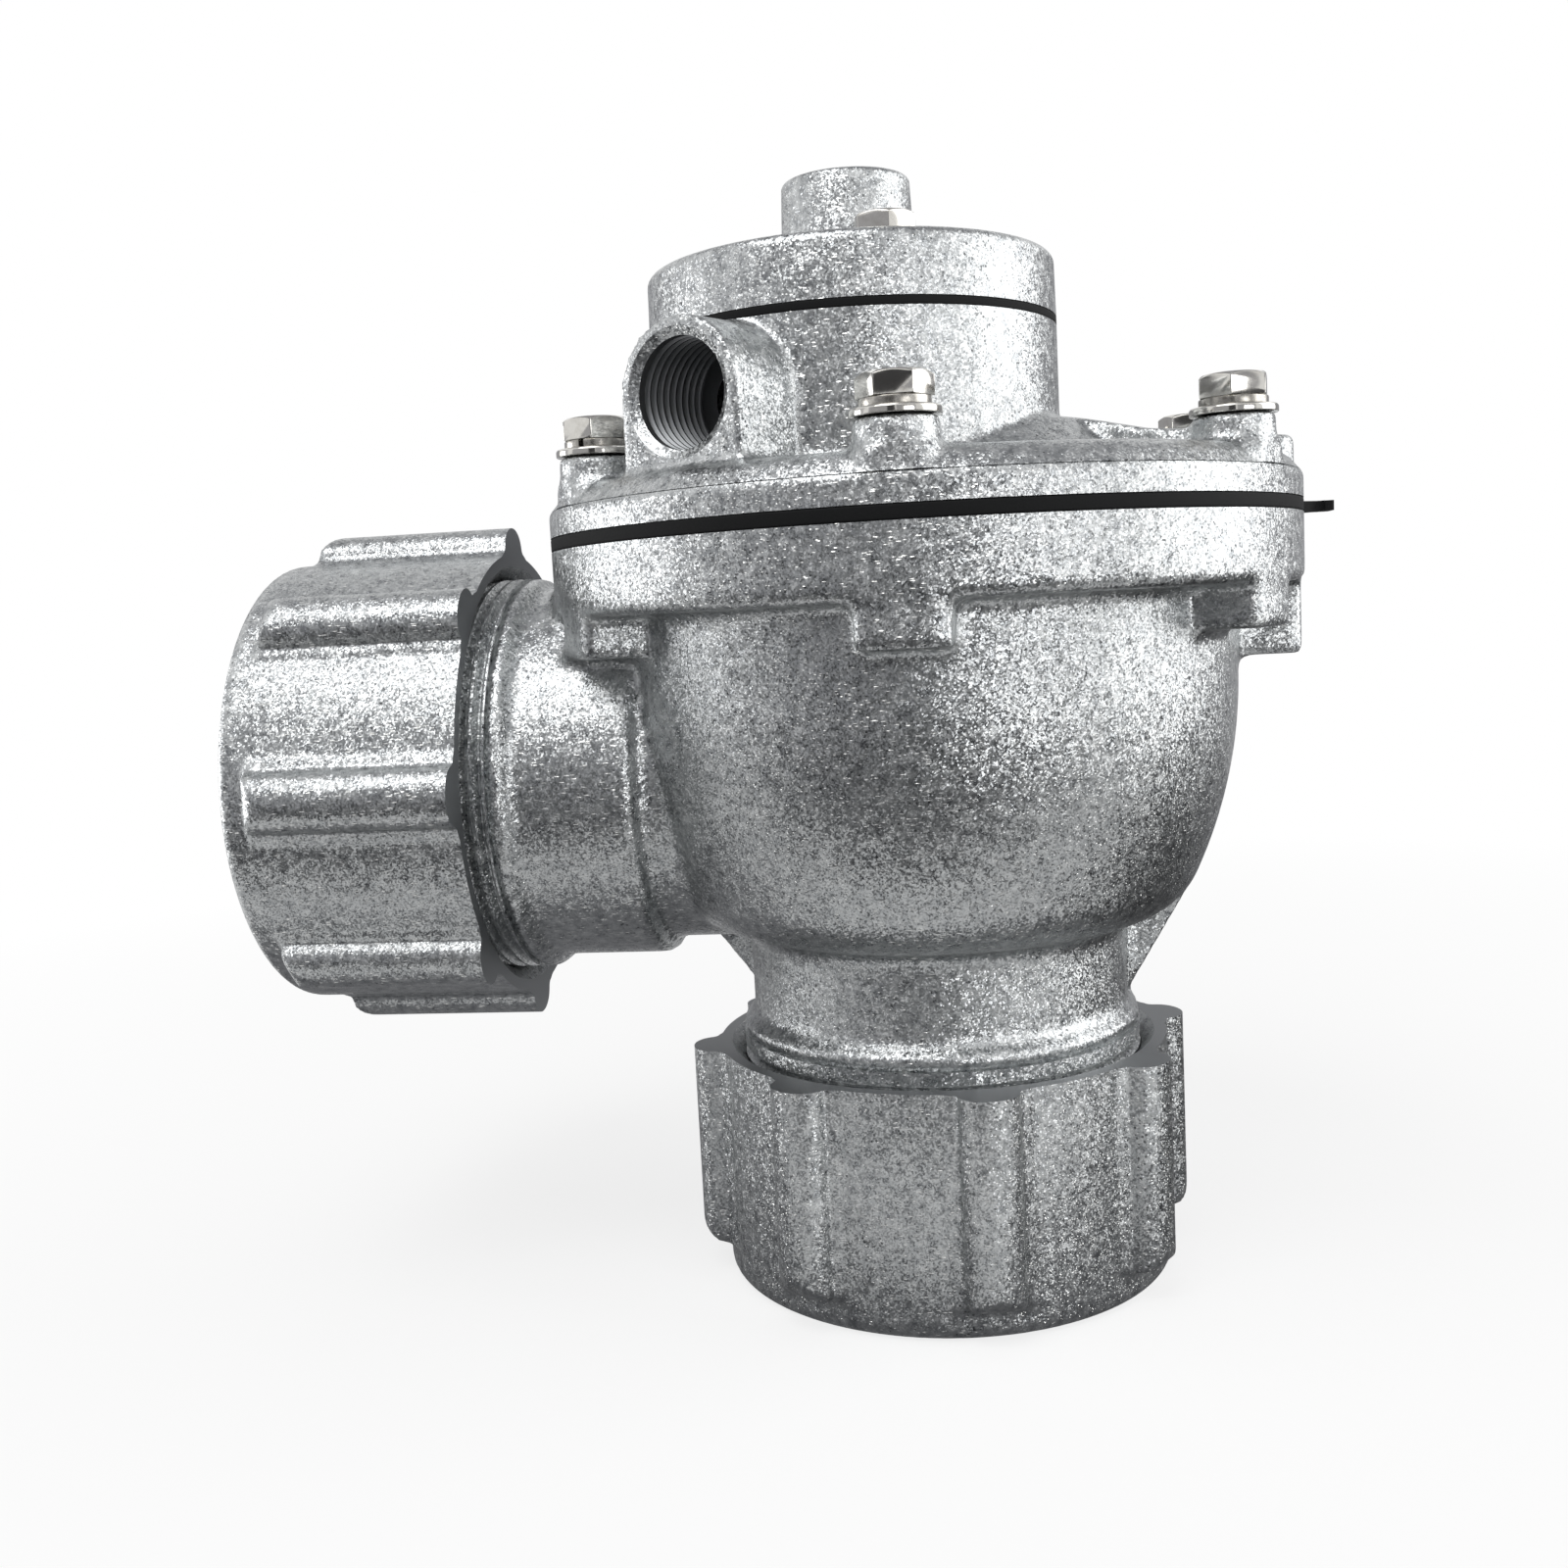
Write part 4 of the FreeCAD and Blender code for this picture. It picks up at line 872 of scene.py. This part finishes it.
@dataclass
class BonnetCasting:
    """Cover with bolt bosses, pilot housing and exhaust port."""

    rim: float = 3.8
    plate: float = 7.2
    cone_top: float = 13.2
    port_turn: float = 29.6
    port_height: float = 136.0
    port_reach: float = 41.9
    port_minor: float = 7.48
    port_major: float = 8.33
    port_pitch: float = 1.337
    port_thread: float = 14.0
    arch: float = 10.2
    grain: float = 0.6

    def build(self) -> None:
        """Cast the skin, machine it, and dress it."""
        parts = [self.cover(), self.housing(), self.port_boss(), self.post()]
        parts += [*self.bosses(), *self.webs()]
        piece = cast_skin(join("bonnet_casting", parts), self.grain, 5)
        face = H.pilot_face
        for cutter in (
            cylinder("under", FACING_RADIUS, H.joint - FACING_DEPTH, H.joint),
            self.hollow(),
            on_pilot(cylinder("pilot_top", 40, face, face + FACING_DEPTH)),
            self.pilot_chamber(),
            self.to_port(cylinder("passage", 4.5, 0, 36)),
            self.port_bore(),
            self.parting_line(),
            *holes(FLANGE_BOLTS, FLANGE_HOLE_RADIUS, 110, 140),
            *holes(CAP_BOLTS, 2.55, 137, 150),
        ):
            combine(piece, cutter)
        shade(piece)
        CASTING.dress(piece)
        turn_faces(piece, TURNED_WITH_PAINTED_SHADE, self.is_machined)
        hand_over(piece, "valve", Slot.CASTING, "bonnet")

    def cover(self) -> Piece:
        """Rim, shoulder and cone round the main axis, its underside left long for facing."""
        low, rim, plate = H.joint - 3, H.joint + self.rim, H.joint + self.plate
        radius, edge = H.flange_radius, H.flange_radius - 5.6
        profile = [(0, low), (radius, low), (radius, rim), (radius - 0.6, rim + 0.2)]
        profile += arc(profile[-1], (edge, plate), 5.5, -1, 6) + [(edge, plate)]
        cone = H.joint + self.cone_top
        profile += soften([(edge, plate), (36.5, plate, 4.0), (29.5, cone, 2.5), (0, cone)])[1:]
        return lathe("cover", profile, 256)

    def housing(self) -> Piece:
        """Pilot housing with a small round at its foot, its top left long for facing."""
        low, foot, top = H.joint + 1, H.joint + self.plate, H.pilot_face + 3
        radius, flare = H.pilot_radius, 1.6
        profile = [(0, low), (radius + flare, low), (radius + flare, foot)]
        profile += arc(profile[-1], (radius, foot + flare), flare, 1, 4)
        profile += [(radius, foot + flare), (radius, top), (0, top)]
        return on_pilot(lathe("housing", profile, 224))

    def port_boss(self) -> Piece:
        """Arched boss of the exhaust port."""
        low = H.joint + 2 - self.port_height
        outline = [(-self.arch - 0.4, low), (self.arch + 0.4, low), (self.arch, 0)]
        outline += arc((self.arch, 0), (0, self.arch), self.arch, -1, 10) + [(0, self.arch)]
        outline += arc((0, self.arch), (-self.arch, 0), self.arch, -1, 10) + [(-self.arch, 0)]
        boss = prism("port_boss", outline, 15, self.port_reach)
        return self.to_port(boss)

    def to_port(self, piece: Piece) -> Piece:
        """Put a piece made along +Z, its top towards +Y, on the port's axis."""
        turn = about(-self.port_turn) @ about(90, "X")
        return settle(piece, turn, (H.pilot_x, H.pilot_y, self.port_height))

    def post(self) -> Piece:
        """Plain post beside the tab."""
        top = H.joint + 10
        profile = soften([(0, H.joint + 2), (4.1, H.joint + 2), (4.0, top, 0.8), (0, top)])
        return settle(lathe("post", profile, 40), to=(H.flange_radius - 4.5, 0, 0))

    def bosses(self) -> list[Piece]:
        """Round bosses under the bolts, their feet flared but kept inside the rim."""
        base, seat = H.joint + 2, H.bolt_seat
        foot = [(0, base), (6.7, base), (6.6, H.joint + 6.6)]
        stem = [(5.65, H.joint + 7.7, 0.9), (5.55, seat, 0.4), (0, seat)]
        model = lathe("boss", soften(foot + stem), 64)
        made = [twin(model, to=(*place, 0)) for place in FLANGE_BOLTS]
        bpy.data.objects.remove(model)
        for piece in made:
            limit = cylinder("limit", H.flange_radius - 0.3, 100, 150, 128)
            combine(piece, limit, Cut.KEEP_COMMON)
        return made

    def webs(self) -> list[Piece]:
        """Webs that run from the cone out to the far bosses."""
        z = H.joint
        outline = [(24, z + 2), (50, z + 2), (50, z + 9.2), (40, z + 10.4)]
        outline += [(30, z + 12.9), (24, z + 12.9)]
        made = []
        for number in (1, 2, 3):
            web = settle(prism("web", outline, -3.6, 3.6), about(90, "X"))
            made.append(settle(web, about(60 * number - 90)))
        return made

    def hollow(self) -> Piece:
        """Chamber above the main diaphragm."""
        z = H.joint
        profile = [(0, z - 1), (44.2, z - 1), (42.4, z + 3.6), (28.2, z + 3.6)]
        return lathe("hollow", [*profile, (27.2, z + 10), (0, z + 10)], 128)

    def pilot_chamber(self) -> Piece:
        """Ring-shaped chamber round the nozzle, and the nozzle's bore."""
        face = H.pilot_face
        profile = [(0, face + 1), (18.5, face + 1), (18.5, face - 4), (8, face - 4), (8, face - 2)]
        profile += [(5, face - 2), (5, self.port_height), (0, self.port_height)]
        return on_pilot(lathe("pilot_chamber", profile, 96))

    def port_bore(self) -> Piece:
        """Threaded bore of the port with a chamfer at its mouth."""
        first = self.port_reach - self.port_thread
        last = self.port_reach - 0.9
        comb = thread_comb(first, last, self.port_pitch, self.port_minor, self.port_major)
        end, mouth = self.port_reach, self.port_major + 0.4
        profile = [(0, first), *comb, (mouth, end), (mouth, end + 2), (0, end + 2)]
        return self.to_port(lathe("port_bore", profile, 128))

    def parting_line(self) -> Piece:
        """Fine groove between rim and shoulder."""
        z = H.joint + self.rim + 0.1
        r = H.flange_radius
        return lathe("parting", [(r - 0.55, z), (r + 1, z - 0.5), (r + 1, z + 0.5)], 256)

    def is_machined(self, centre: Vector, normal: Vector) -> bool:
        """Whether a face is on a joint face or in the port's thread."""
        if normal.z > 0.99 and centre.z > H.pilot_face - 0.1:
            return True
        if normal.z < -0.99 and centre.z < H.joint + 0.1:
            return True
        turn = math.radians(self.port_turn)
        out = Vector((-math.sin(turn), -math.cos(turn), 0))
        offset = centre - Vector((H.pilot_x, H.pilot_y, self.port_height))
        along = offset.dot(out)
        across = (offset - out * along).length
        return 24 < along < self.port_reach - 1.0 and across < self.port_major + 0.3


@dataclass
class CapCasting:
    """Round cap over the pilot diaphragm with the pilot port's boss."""

    height: float = 9.2
    boss_radius: float = 9.67
    boss_height: float = 13.2
    port_minor: float = 5.72
    port_major: float = 6.57
    pitch: float = 1.337

    def build(self) -> None:
        """Turn the cap, cut its hollow and holes, and dress it."""
        z = H.cap_bottom
        top = z + self.height
        end = top + self.boss_height
        boss = self.boss_radius
        radius = H.pilot_radius
        outline = [(0, z), (radius, z), (radius - 0.15, top, 1.5), (boss + 0.5, top, 2.0)]
        profile = soften([*outline, (boss, end, 0.9), (0, end)], 7)
        piece = on_pilot(lathe("cap_casting", profile, 224))
        combine(piece, self.hollow(z, end))
        for hole in holes(CAP_BOLTS, 2.85, z - 1, top + 1):
            combine(piece, hole)
        shade(piece)
        CASTING.dress(piece)
        hand_over(piece, "valve", Slot.CASTING, "pilot_cap")

    def hollow(self, z: float, end: float) -> Piece:
        """Chamber under the cap and the threaded pilot port."""
        foot = end - 11.0
        comb = thread_comb(foot, end - 0.8, self.pitch, self.port_minor, self.port_major)
        mouth = self.port_major + 0.3
        profile = [(0, z - 1), (18.5, z - 1), (18.5, z + 6.2), (4, z + 6.2), (4, foot)]
        profile += [*comb, (mouth, end), (mouth, end + 1), (0, end + 1)]
        return on_pilot(lathe("cap_hollow", profile, 96))


@dataclass
class CompressionNut:
    """Ribbed nut, made with its outer end at 0 and its mouth towards +Z."""

    hole: float = 24.6
    radius: float = 36.1
    length: float = 37.0
    bore: float = 32.2
    end_wall: float = 5.0
    rib_width: float = 9.0
    rib_rise: float = 4.4
    rib_gap: float = 5.0
    grain: float = 0.55

    def build(self) -> None:
        """Cast one nut, and put a copy of it on each neck."""
        plain = self.blank()
        for name, turn, place, out in (
            ("outlet", about(12.6), (0, 0, 0), Vector((0, 0, 1))),
            ("inlet", about(90, "Y") @ about(-1.0), (-103.8, 0, H.inlet), Vector((1, 0, 0))),
        ):
            piece = twin(plain, turn, place)
            piece.name = piece.data.name = f"{name}_nut_casting"
            mouth = Vector(place).dot(out) + self.length - 0.3
            shade(piece)
            CASTING.dress(piece)
            turn_faces(piece, TURNED_WITH_PAINTED_SHADE, lambda c, n: n.dot(out) > 0.97 and c.dot(out) > mouth)
            hand_over(piece, f"{name}_turner", Slot.CASTING, f"{name}_nut")
        bpy.data.objects.remove(plain)

    def blank(self) -> Piece:
        """One nut: skin, mouth face, bore and thread."""
        radius, bore, end, long = self.radius, self.bore, self.length, self.length + 3
        shell = lathe("shell", soften([(0, 0), (radius, 0, 1.8), (radius, long), (0, long)]), 192)
        ribs = [settle(self.rib(), about(45 * number - 90)) for number in range(8)]
        piece = cast_skin(join("nut_blank", [shell, *ribs]), self.grain, 4)
        combine(piece, cylinder("mouth", 60, end, long + 5))
        comb = thread_comb(self.end_wall + 2, end - 2, 2.0, bore, bore + 0.9)
        profile = [(0, -1), (self.hole, -1), (self.hole, self.end_wall), (bore, self.end_wall)]
        profile += [*comb, (bore + 2, end), (bore + 2, end + 1), (0, end + 1)]
        return combine(piece, lathe("bore", profile, 192))

    def rib(self) -> Piece:
        """One half-round rib towards +X, with hollow feet and its outer end drawn round."""
        half, low, skin = self.rib_width / 2, self.radius - 2, self.radius + 0.1
        middle, crest = self.radius + 0.9, self.radius + self.rib_rise
        turns = [math.radians(90 - 12 * step) for step in range(16)]
        rise = crest - middle
        crown = [(middle + rise * math.cos(turn), half * math.sin(turn)) for turn in turns]
        foot = [(low, half + 1.3), (skin, half + 1.3), (skin, half, 0.7)]
        outline = soften([*foot, *crown, *[(x, -y, *rest) for x, y, *rest in reversed(foot)]])
        piece = prism("rib", outline, self.rib_gap, self.length + 3)
        reach = crest + 0.1
        limit = soften([(0, self.rib_gap), (reach, self.rib_gap, 3.6), (reach, 60), (0, 60)])
        return combine(piece, lathe("limit", limit, 96), Cut.KEEP_COMMON)


@dataclass(frozen=True)
class BoltSize:
    """Sizes of a hex bolt."""

    flats: float
    head: float
    shank: float
    length: float


@dataclass
class HexFasteners:
    """Hex heads with chamfered corners, split washers and flat washers."""

    flange_bolt: BoltSize = BoltSize(8.8, 3.2, 3.0, 25.0)
    cap_bolt: BoltSize = BoltSize(8.0, 2.8, 2.5, 18.0)
    washer_thickness: float = 1.1
    spring_thickness: float = 1.2
    head_rise: float = 2.3
    cap_height: float = 9.2

    def build(self) -> None:
        """Model each kind once and set copies on their circles."""
        seat = H.bolt_seat
        split_seat = seat + self.washer_thickness
        self.spread(
            self.washer(6.0, 3.2, self.washer_thickness), "flange_washer", FLANGE_BOLTS, seat,
            (0, 20, 45, 70, 10, 33), STEEL, Slot.FASTENER,
        )
        self.spread(
            self.split_washer(), "flange_spring_washer", FLANGE_BOLTS, split_seat,
            (150, 40, 200, 290, 100, 250), SPRING_STEEL, Slot.SPRING,
        )
        self.spread(
            self.bolt(self.flange_bolt), "flange_bolt", FLANGE_BOLTS, seat + self.head_rise,
            (31, -11, 22, 38, 9, 5), STEEL, Slot.FASTENER,
        )
        self.spread(
            self.bolt(self.cap_bolt), "cap_bolt", CAP_BOLTS, H.cap_bottom + self.cap_height,
            (12, 40, 25), STEEL, Slot.FASTENER,
        )

    def spread(
        self, model: Piece, kind: str, places: list[Point], height: float, turns: tuple,
        finish: Finish, slot: Slot,
    ) -> None:
        """Copy a model to its places, join the copies and dress them."""
        copies = [twin(model, about(turn), (*place, height)) for place, turn in zip(places, turns)]
        bpy.data.objects.remove(model)
        piece = join(f"{kind}_set", copies)
        shade(piece, 25)
        finish.dress(piece)
        hand_over(piece, "valve", slot, f"{kind}s")

    def washer(self, outer: float, inner: float, thick: float) -> Piece:
        """Stamped washer, its upper edge rolled over more than its lower one."""
        corners = [(inner, 0), (outer, 0, 0.15), (outer, thick, 0.4), (inner, thick, 0.15)]
        return lathe("washer", soften(corners, 4), 96)

    def split_washer(self) -> Piece:
        """Split washer whose ends stand a little apart."""
        turn = math.tau - math.radians(10)
        low, high = 0.02, self.spring_thickness - 0.02
        corners = [(3.2, low, 0.12), (4.7, low, 0.2), (4.7, high, 0.2), (3.2, high, 0.12)]
        places = [Vector((radius, 0, height)) for radius, height in soften(corners, 3)]
        piece = ring_of_points("split_washer", places)
        with editing():
            bpy.ops.mesh.edge_face_add()
            bpy.ops.mesh.spin(steps=72, angle=turn, center=(0, 0, 0), axis=(0, 0, 1))
            close_mesh()
        return piece

    def bolt(self, size: BoltSize) -> Piece:
        """Hex bolt whose underside is at 0."""
        head, shank, length = size.head, size.shank, size.length
        corner = size.flats / math.sqrt(3)
        clear_selection()
        bpy.ops.mesh.primitive_cylinder_add(
            vertices=6, radius=corner * MM, depth=head * MM, location=(0, 0, head / 2 * MM)
        )
        piece = bpy.context.object
        bpy.ops.object.transform_apply(location=True, rotation=True, scale=True)
        crown = size.flats / 2 * 0.94
        wide = corner + 0.3
        drop = (wide - crown) * math.tan(math.radians(30))
        lens = [(0, -0.1), (wide, -0.1), (wide, head - drop), (crown, head)]
        lens += [(crown - 0.3, head), (0, head - 0.12)]
        combine(piece, lathe("chamfer", lens, 96), Cut.KEEP_COMMON)
        limits = {"limit_method": "ANGLE", "angle_limit": math.radians(35)}
        apply_modifier(piece, "BEVEL", width=0.12 * MM, segments=2, **limits)
        stem = soften([(0, -length), (shank, -length, 0.6), (shank, 0.5), (0, 0.5)])
        return combine(piece, lathe("stem", stem, 48), Cut.ADD)


@dataclass
class Diaphragms:
    """Main and pilot diaphragm, each clamped at its rim."""

    web: float = 2.0

    def build(self) -> None:
        """Mould both, the main one with its tab and bolt holes."""
        main = lathe("main_diaphragm_moulding", self.main_profile(), 224)
        combine(main, self.tab(), Cut.ADD)
        for hole in holes(FLANGE_BOLTS, FLANGE_HOLE_RADIUS, 110, 125):
            combine(main, hole)
        self.finish(main, "main_lifter", (0, 0, H.body_top), (0, 0, 113.1), "main_diaphragm")
        face = H.pilot_face
        pilot = on_pilot(lathe("pilot_diaphragm_moulding", self.pilot_profile(face), 160))
        self.finish(pilot, "pilot_lifter", (0, 0, face), (0, 0, face - 0.7), "pilot_diaphragm")

    def finish(self, piece, lifter: str, start: tuple, end: tuple, node: str) -> None:
        """Dress a diaphragm, hide its CAD node and put its place into its mesh."""
        shade(piece, 35)
        RUBBER.dress(piece)
        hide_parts(node)
        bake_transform(piece)
        LOG.info("%s: %d faces", piece.name, len(piece.data.polygons))

    def main_profile(self) -> list[Point]:
        """Section of the main diaphragm: web, flank and clamped rim with a rounded edge."""
        low, high = H.body_top + 0.02, H.joint - 0.02
        upper = H.seat + self.web
        lower_side = [(3.2, H.seat), (30.0, H.seat, 2.0), (42.0, low, 2.5), (58.0, low, 0.35)]
        upper_side = [(58.0, high, 0.35), (41.0, high, 2.5), (29.0, upper, 2.0), (3.2, upper)]
        return soften(lower_side + upper_side, 8)

    def tab(self) -> Piece:
        """Tab on the rim with a small knob at its end."""
        half = [(55.5, 5.2), (57.7, 4.6, 1.0), (60.9, 1.9, 1.0), (61.3, 2.5, 0.3), (63, 2.5, 0.4)]
        outline = soften([(x, -y, *rest) for x, y, *rest in half] + half[::-1])
        return prism("tab", outline, H.body_top + 0.3, H.joint - 0.3)

    def pilot_profile(self, face: float) -> list[Point]:
        """Section of the pilot diaphragm."""
        low, high = face + 0.02, face + 1.28
        lower_side = [(1.7, face - 2), (13.0, face - 2, 1.0), (17.0, low, 1.0), (30.8, low, 0.25)]
        upper_side = [(30.8, high, 0.25), (16.5, high, 1.0), (12.5, face - 0.7, 1.0)]
        return soften([*lower_side, *upper_side, (1.7, face - 0.7)], 6)


@dataclass
class Innards:
    """Springs, discs and small parts inside, which keep their CAD shapes."""

    main_keep: float = 0.28
    pilot_keep: float = 0.45

    def build(self) -> None:
        """Dress the nodes, and put merged copies of the springs in their place."""
        for node, finish in (
            ("main_support_disc", PLATE), ("main_clamp_disc", PLATE),
            ("main_screw", STEEL), ("main_nut", STEEL),
            ("pilot_support_disc", PLATE), ("pilot_clamp_disc", PLATE), ("pilot_rivet", STEEL),
            ("outlet_slip_ring", PLATE), ("inlet_slip_ring", PLATE),
            ("outlet_gland_seal", RUBBER), ("inlet_gland_seal", RUBBER),
        ):
            finish.dress(self.node(node))
        self.coil("main_spring")
        self.coil("pilot_spring")

    def node(self, name: str) -> Piece:
        """A CAD node's own object."""
        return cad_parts[name]

    def coil(self, name: str) -> None:
        """A copy of a spring, its coils merged, dressed and hung on the valve in place of its CAD
        node.
        """
        pick(self.node(name))
        bpy.ops.object.duplicate(linked=False)
        piece = bpy.context.object
        piece.parent = None
        piece.matrix_world = Matrix.Identity(4)
        for key in list(piece.keys()):
            del piece[key]
        piece.name = piece.data.name = name + "_coil"
        with editing():
            bpy.ops.mesh.remove_doubles(threshold=0.001 * MM)
        shade(piece, 60)
        SPRING_STEEL.dress(piece)
        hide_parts(name)
        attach(piece, "valve")
        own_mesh(piece)


@dataclass
class Studio:
    """Pale floor, white surroundings, soft lamps, grey cards and the camera."""

    camera_place: tuple = (11.951, -257.428, 107.202)
    camera_turn: tuple = (83.6145, 2.9792, 7.5785)
    lens: float = 36.73
    sensor: float = 36.0
    surround_light: float = 0.45
    floor_size: float = 6000.0
    floor_drop: float = 0.05
    middle: float = 90.0
    lamp_reach: float = 620.0
    card_reach: float = 640.0
    card_lift: float = 60.0
    skirt_height: float = 0.3

    def build(self) -> None:
        """Set up everything that isn't the valve."""
        self.world()
        self.floor()
        self.lamps()
        self.cards()
        self.camera()
        bpy.context.scene.view_settings.view_transform = "Standard"

    def seen(self, tree: Tree) -> Socket:
        """1 for what the camera sees, straight, mirrored or through glass."""
        path = add_node(tree, "LightPath").outputs
        either = math_node(tree, "MAXIMUM", path["Is Camera Ray"], path["Is Glossy Ray"])
        return math_node(tree, "MAXIMUM", either, path["Is Transmission Ray"])

    def world(self) -> None:
        """White surroundings that light the valve at a lower level."""
        world = bpy.data.worlds.new("studio")
        bpy.context.scene.world = world
        tree = bare_tree(world)
        strength = remap(tree, self.seen(tree), To_Min=self.surround_light, To_Max=1.0)
        back = add_node(tree, "Background", Color=(1, 1, 1, 1), Strength=strength)
        add_node(tree, "OutputWorld", Surface=back.outputs[0])

    def floor(self) -> None:
        """Pale floor under the outlet nut."""
        clear_selection()
        under = (0, 0, -self.floor_drop * MM)
        bpy.ops.mesh.primitive_plane_add(size=self.floor_size * MM, location=under)
        floor = bpy.context.object
        floor.name = "floor"
        paint = bpy.data.materials.new("floor_paper_white")
        tree = bare_tree(paint)
        matt = add_node(tree, "BsdfDiffuse", Color=(0.92, 0.92, 0.92, 1))
        glow = add_node(tree, "Emission", Color=(1, 1, 1, 1), Strength=1.0)
        far = add_node(
            tree, "VectorMath", {"operation": "LENGTH"}, in_0=place_in_object(tree)
        ).outputs["Value"]
        glow_share = remap(tree, far, From_Min=0.1, From_Max=0.45, To_Min=0.75, To_Max=1.0)
        share = math_node(tree, "MULTIPLY", self.seen(tree), glow_share)
        both = add_node(tree, "MixShader", Fac=share, in_1=matt.outputs[0], in_2=glow.outputs[0])
        add_node(tree, "OutputMaterial", Surface=both.outputs[0])
        floor.data.materials.append(paint)

    def lamps(self) -> None:
        """Large soft lamps from the front, the left and the right."""
        for name, around, up, size, power in (
            ("front_high", -28, 56, 380, 1.7),
            ("left", -96, 3, 240, 0.8),
            ("front_right", 34, 4, 240, 0.75),
            ("right", 94, 14, 560, 2.1),
        ):
            light = bpy.data.lights.new(name, "AREA")
            light.shape, light.size, light.energy = "SQUARE", size * MM, power
            lamp = bpy.data.objects.new(name, light)
            bpy.context.collection.objects.link(lamp)
            place = self.spot(around, up, self.lamp_reach)
            lamp.location = place * MM
            facing = Vector((0, 0, self.middle)) - place
            lamp.rotation_euler = facing.to_track_quat("-Z", "Y").to_euler()

    def spot(self, around: float, up: float, reach: float) -> Vector:
        """Place round the valve: degrees from the front to +X, degrees up, millimetres out."""
        turn, rise = math.radians(around), math.radians(up)
        level, height = reach * math.cos(rise), reach * math.sin(rise)
        return Vector((level * math.sin(turn), -level * math.cos(turn), self.middle + height))

    def cards(self) -> None:
        """Grey cards that the metal mirrors and that the camera doesn't see; two of them on the
        floor are painted shadow.
        """
        for name, around, reach, width, height, grey in (
            ("card_front_left", -36, self.card_reach, 560, 620, 0.45),
            ("card_left", -88, self.card_reach, 300, 520, 0.62),
            ("card_front_right", 28, self.card_reach, 540, 620, 0.42),
            ("card_dark_front", -6, 560, 170, 460, 0.06),
            ("card_back_left", -140, self.card_reach, 640, 420, 0.4),
            ("card_back", 180, self.card_reach, 520, 420, 0.3),
            ("card_back_right", 138, self.card_reach, 640, 420, 0.35),
        ):
            place = self.spot(around, 0, reach) + Vector((0, 0, self.card_lift))
            facing = Vector((0, 0, self.middle + self.card_lift)) - place
            self.card(name, place, facing, width, height, grey)
        self.card("card_top", Vector((0, 60, 760)), Vector((0, 0, -1)), 1100, 900, 0.4)
        # Skirts lie flat on the floor where only reflections see them; the one under the valve is
        # painted contact shadow and the one to its right painted floor shadow.
        for name, place, width, depth, grey in (
            ("painted_contact_shadow_under", (0, 0), 130, 108, 0.15),
            ("skirt_front", (0, -290), 1000, 370, 0.08),
            ("skirt_back", (0, 310), 1000, 370, 0.2),
            ("skirt_left", (-110, 20), 125, 150, 0.22),
            ("painted_floor_shadow_right", (260, 45), 430, 170, 0.06),
        ):
            spot = Vector((*place, self.skirt_height))
            self.card(name, spot, Vector((0, 0, 1)), width, depth, grey)

    def card(
        self, name: str, place: Vector, facing: Vector, width: float, height: float, grey: float
    ) -> None:
        """One card that glows less than the white surroundings behind it."""
        ink = bpy.data.materials.new(name)
        tree = bare_tree(ink)
        tone = add_node(tree, "Emission", Color=(grey, grey, grey * 1.04, 1), Strength=1.0)
        add_node(tree, "OutputMaterial", Surface=tone.outputs[0])
        clear_selection()
        bpy.ops.mesh.primitive_plane_add(size=1.0)
        card = bpy.context.object
        card.name = name
        card.scale = (width * MM, height * MM, 1)
        card.location = place * MM
        card.rotation_euler = facing.to_track_quat("Z", "Y").to_euler()
        card.data.materials.append(ink)
        card.visible_camera = False
        card.visible_shadow = False
        card.visible_diffuse = False

    def camera(self) -> None:
        """Camera at the photograph's angle, without depth of field."""
        data = bpy.data.cameras.new("camera")
        data.sensor_width, data.lens = self.sensor, self.lens
        data.clip_start, data.clip_end = 0.01, 20.0
        camera = bpy.data.objects.new("camera", data)
        bpy.context.collection.objects.link(camera)
        camera.location = Vector(self.camera_place) * MM
        camera.rotation_euler = [math.radians(v) for v in self.camera_turn]
        bpy.context.scene.camera = camera


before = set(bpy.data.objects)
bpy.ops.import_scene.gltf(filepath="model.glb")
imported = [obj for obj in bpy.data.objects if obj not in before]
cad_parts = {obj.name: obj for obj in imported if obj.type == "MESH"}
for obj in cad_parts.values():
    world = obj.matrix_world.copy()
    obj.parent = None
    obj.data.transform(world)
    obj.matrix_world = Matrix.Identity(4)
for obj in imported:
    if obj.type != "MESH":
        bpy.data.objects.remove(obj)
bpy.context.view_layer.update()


def main() -> None:
    """Build the valve piece by piece, then the studio."""
    logging.basicConfig(level=logging.INFO, format="%(message)s")
    for assembly in (
        BodyCasting(), BonnetCasting(), CapCasting(), CompressionNut(), HexFasteners(),
        Diaphragms(), Innards(),
    ):
        LOG.info("building %s", type(assembly).__name__)
        assembly.build()
    Studio().build()
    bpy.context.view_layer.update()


if __name__ == "__main__":
    main()
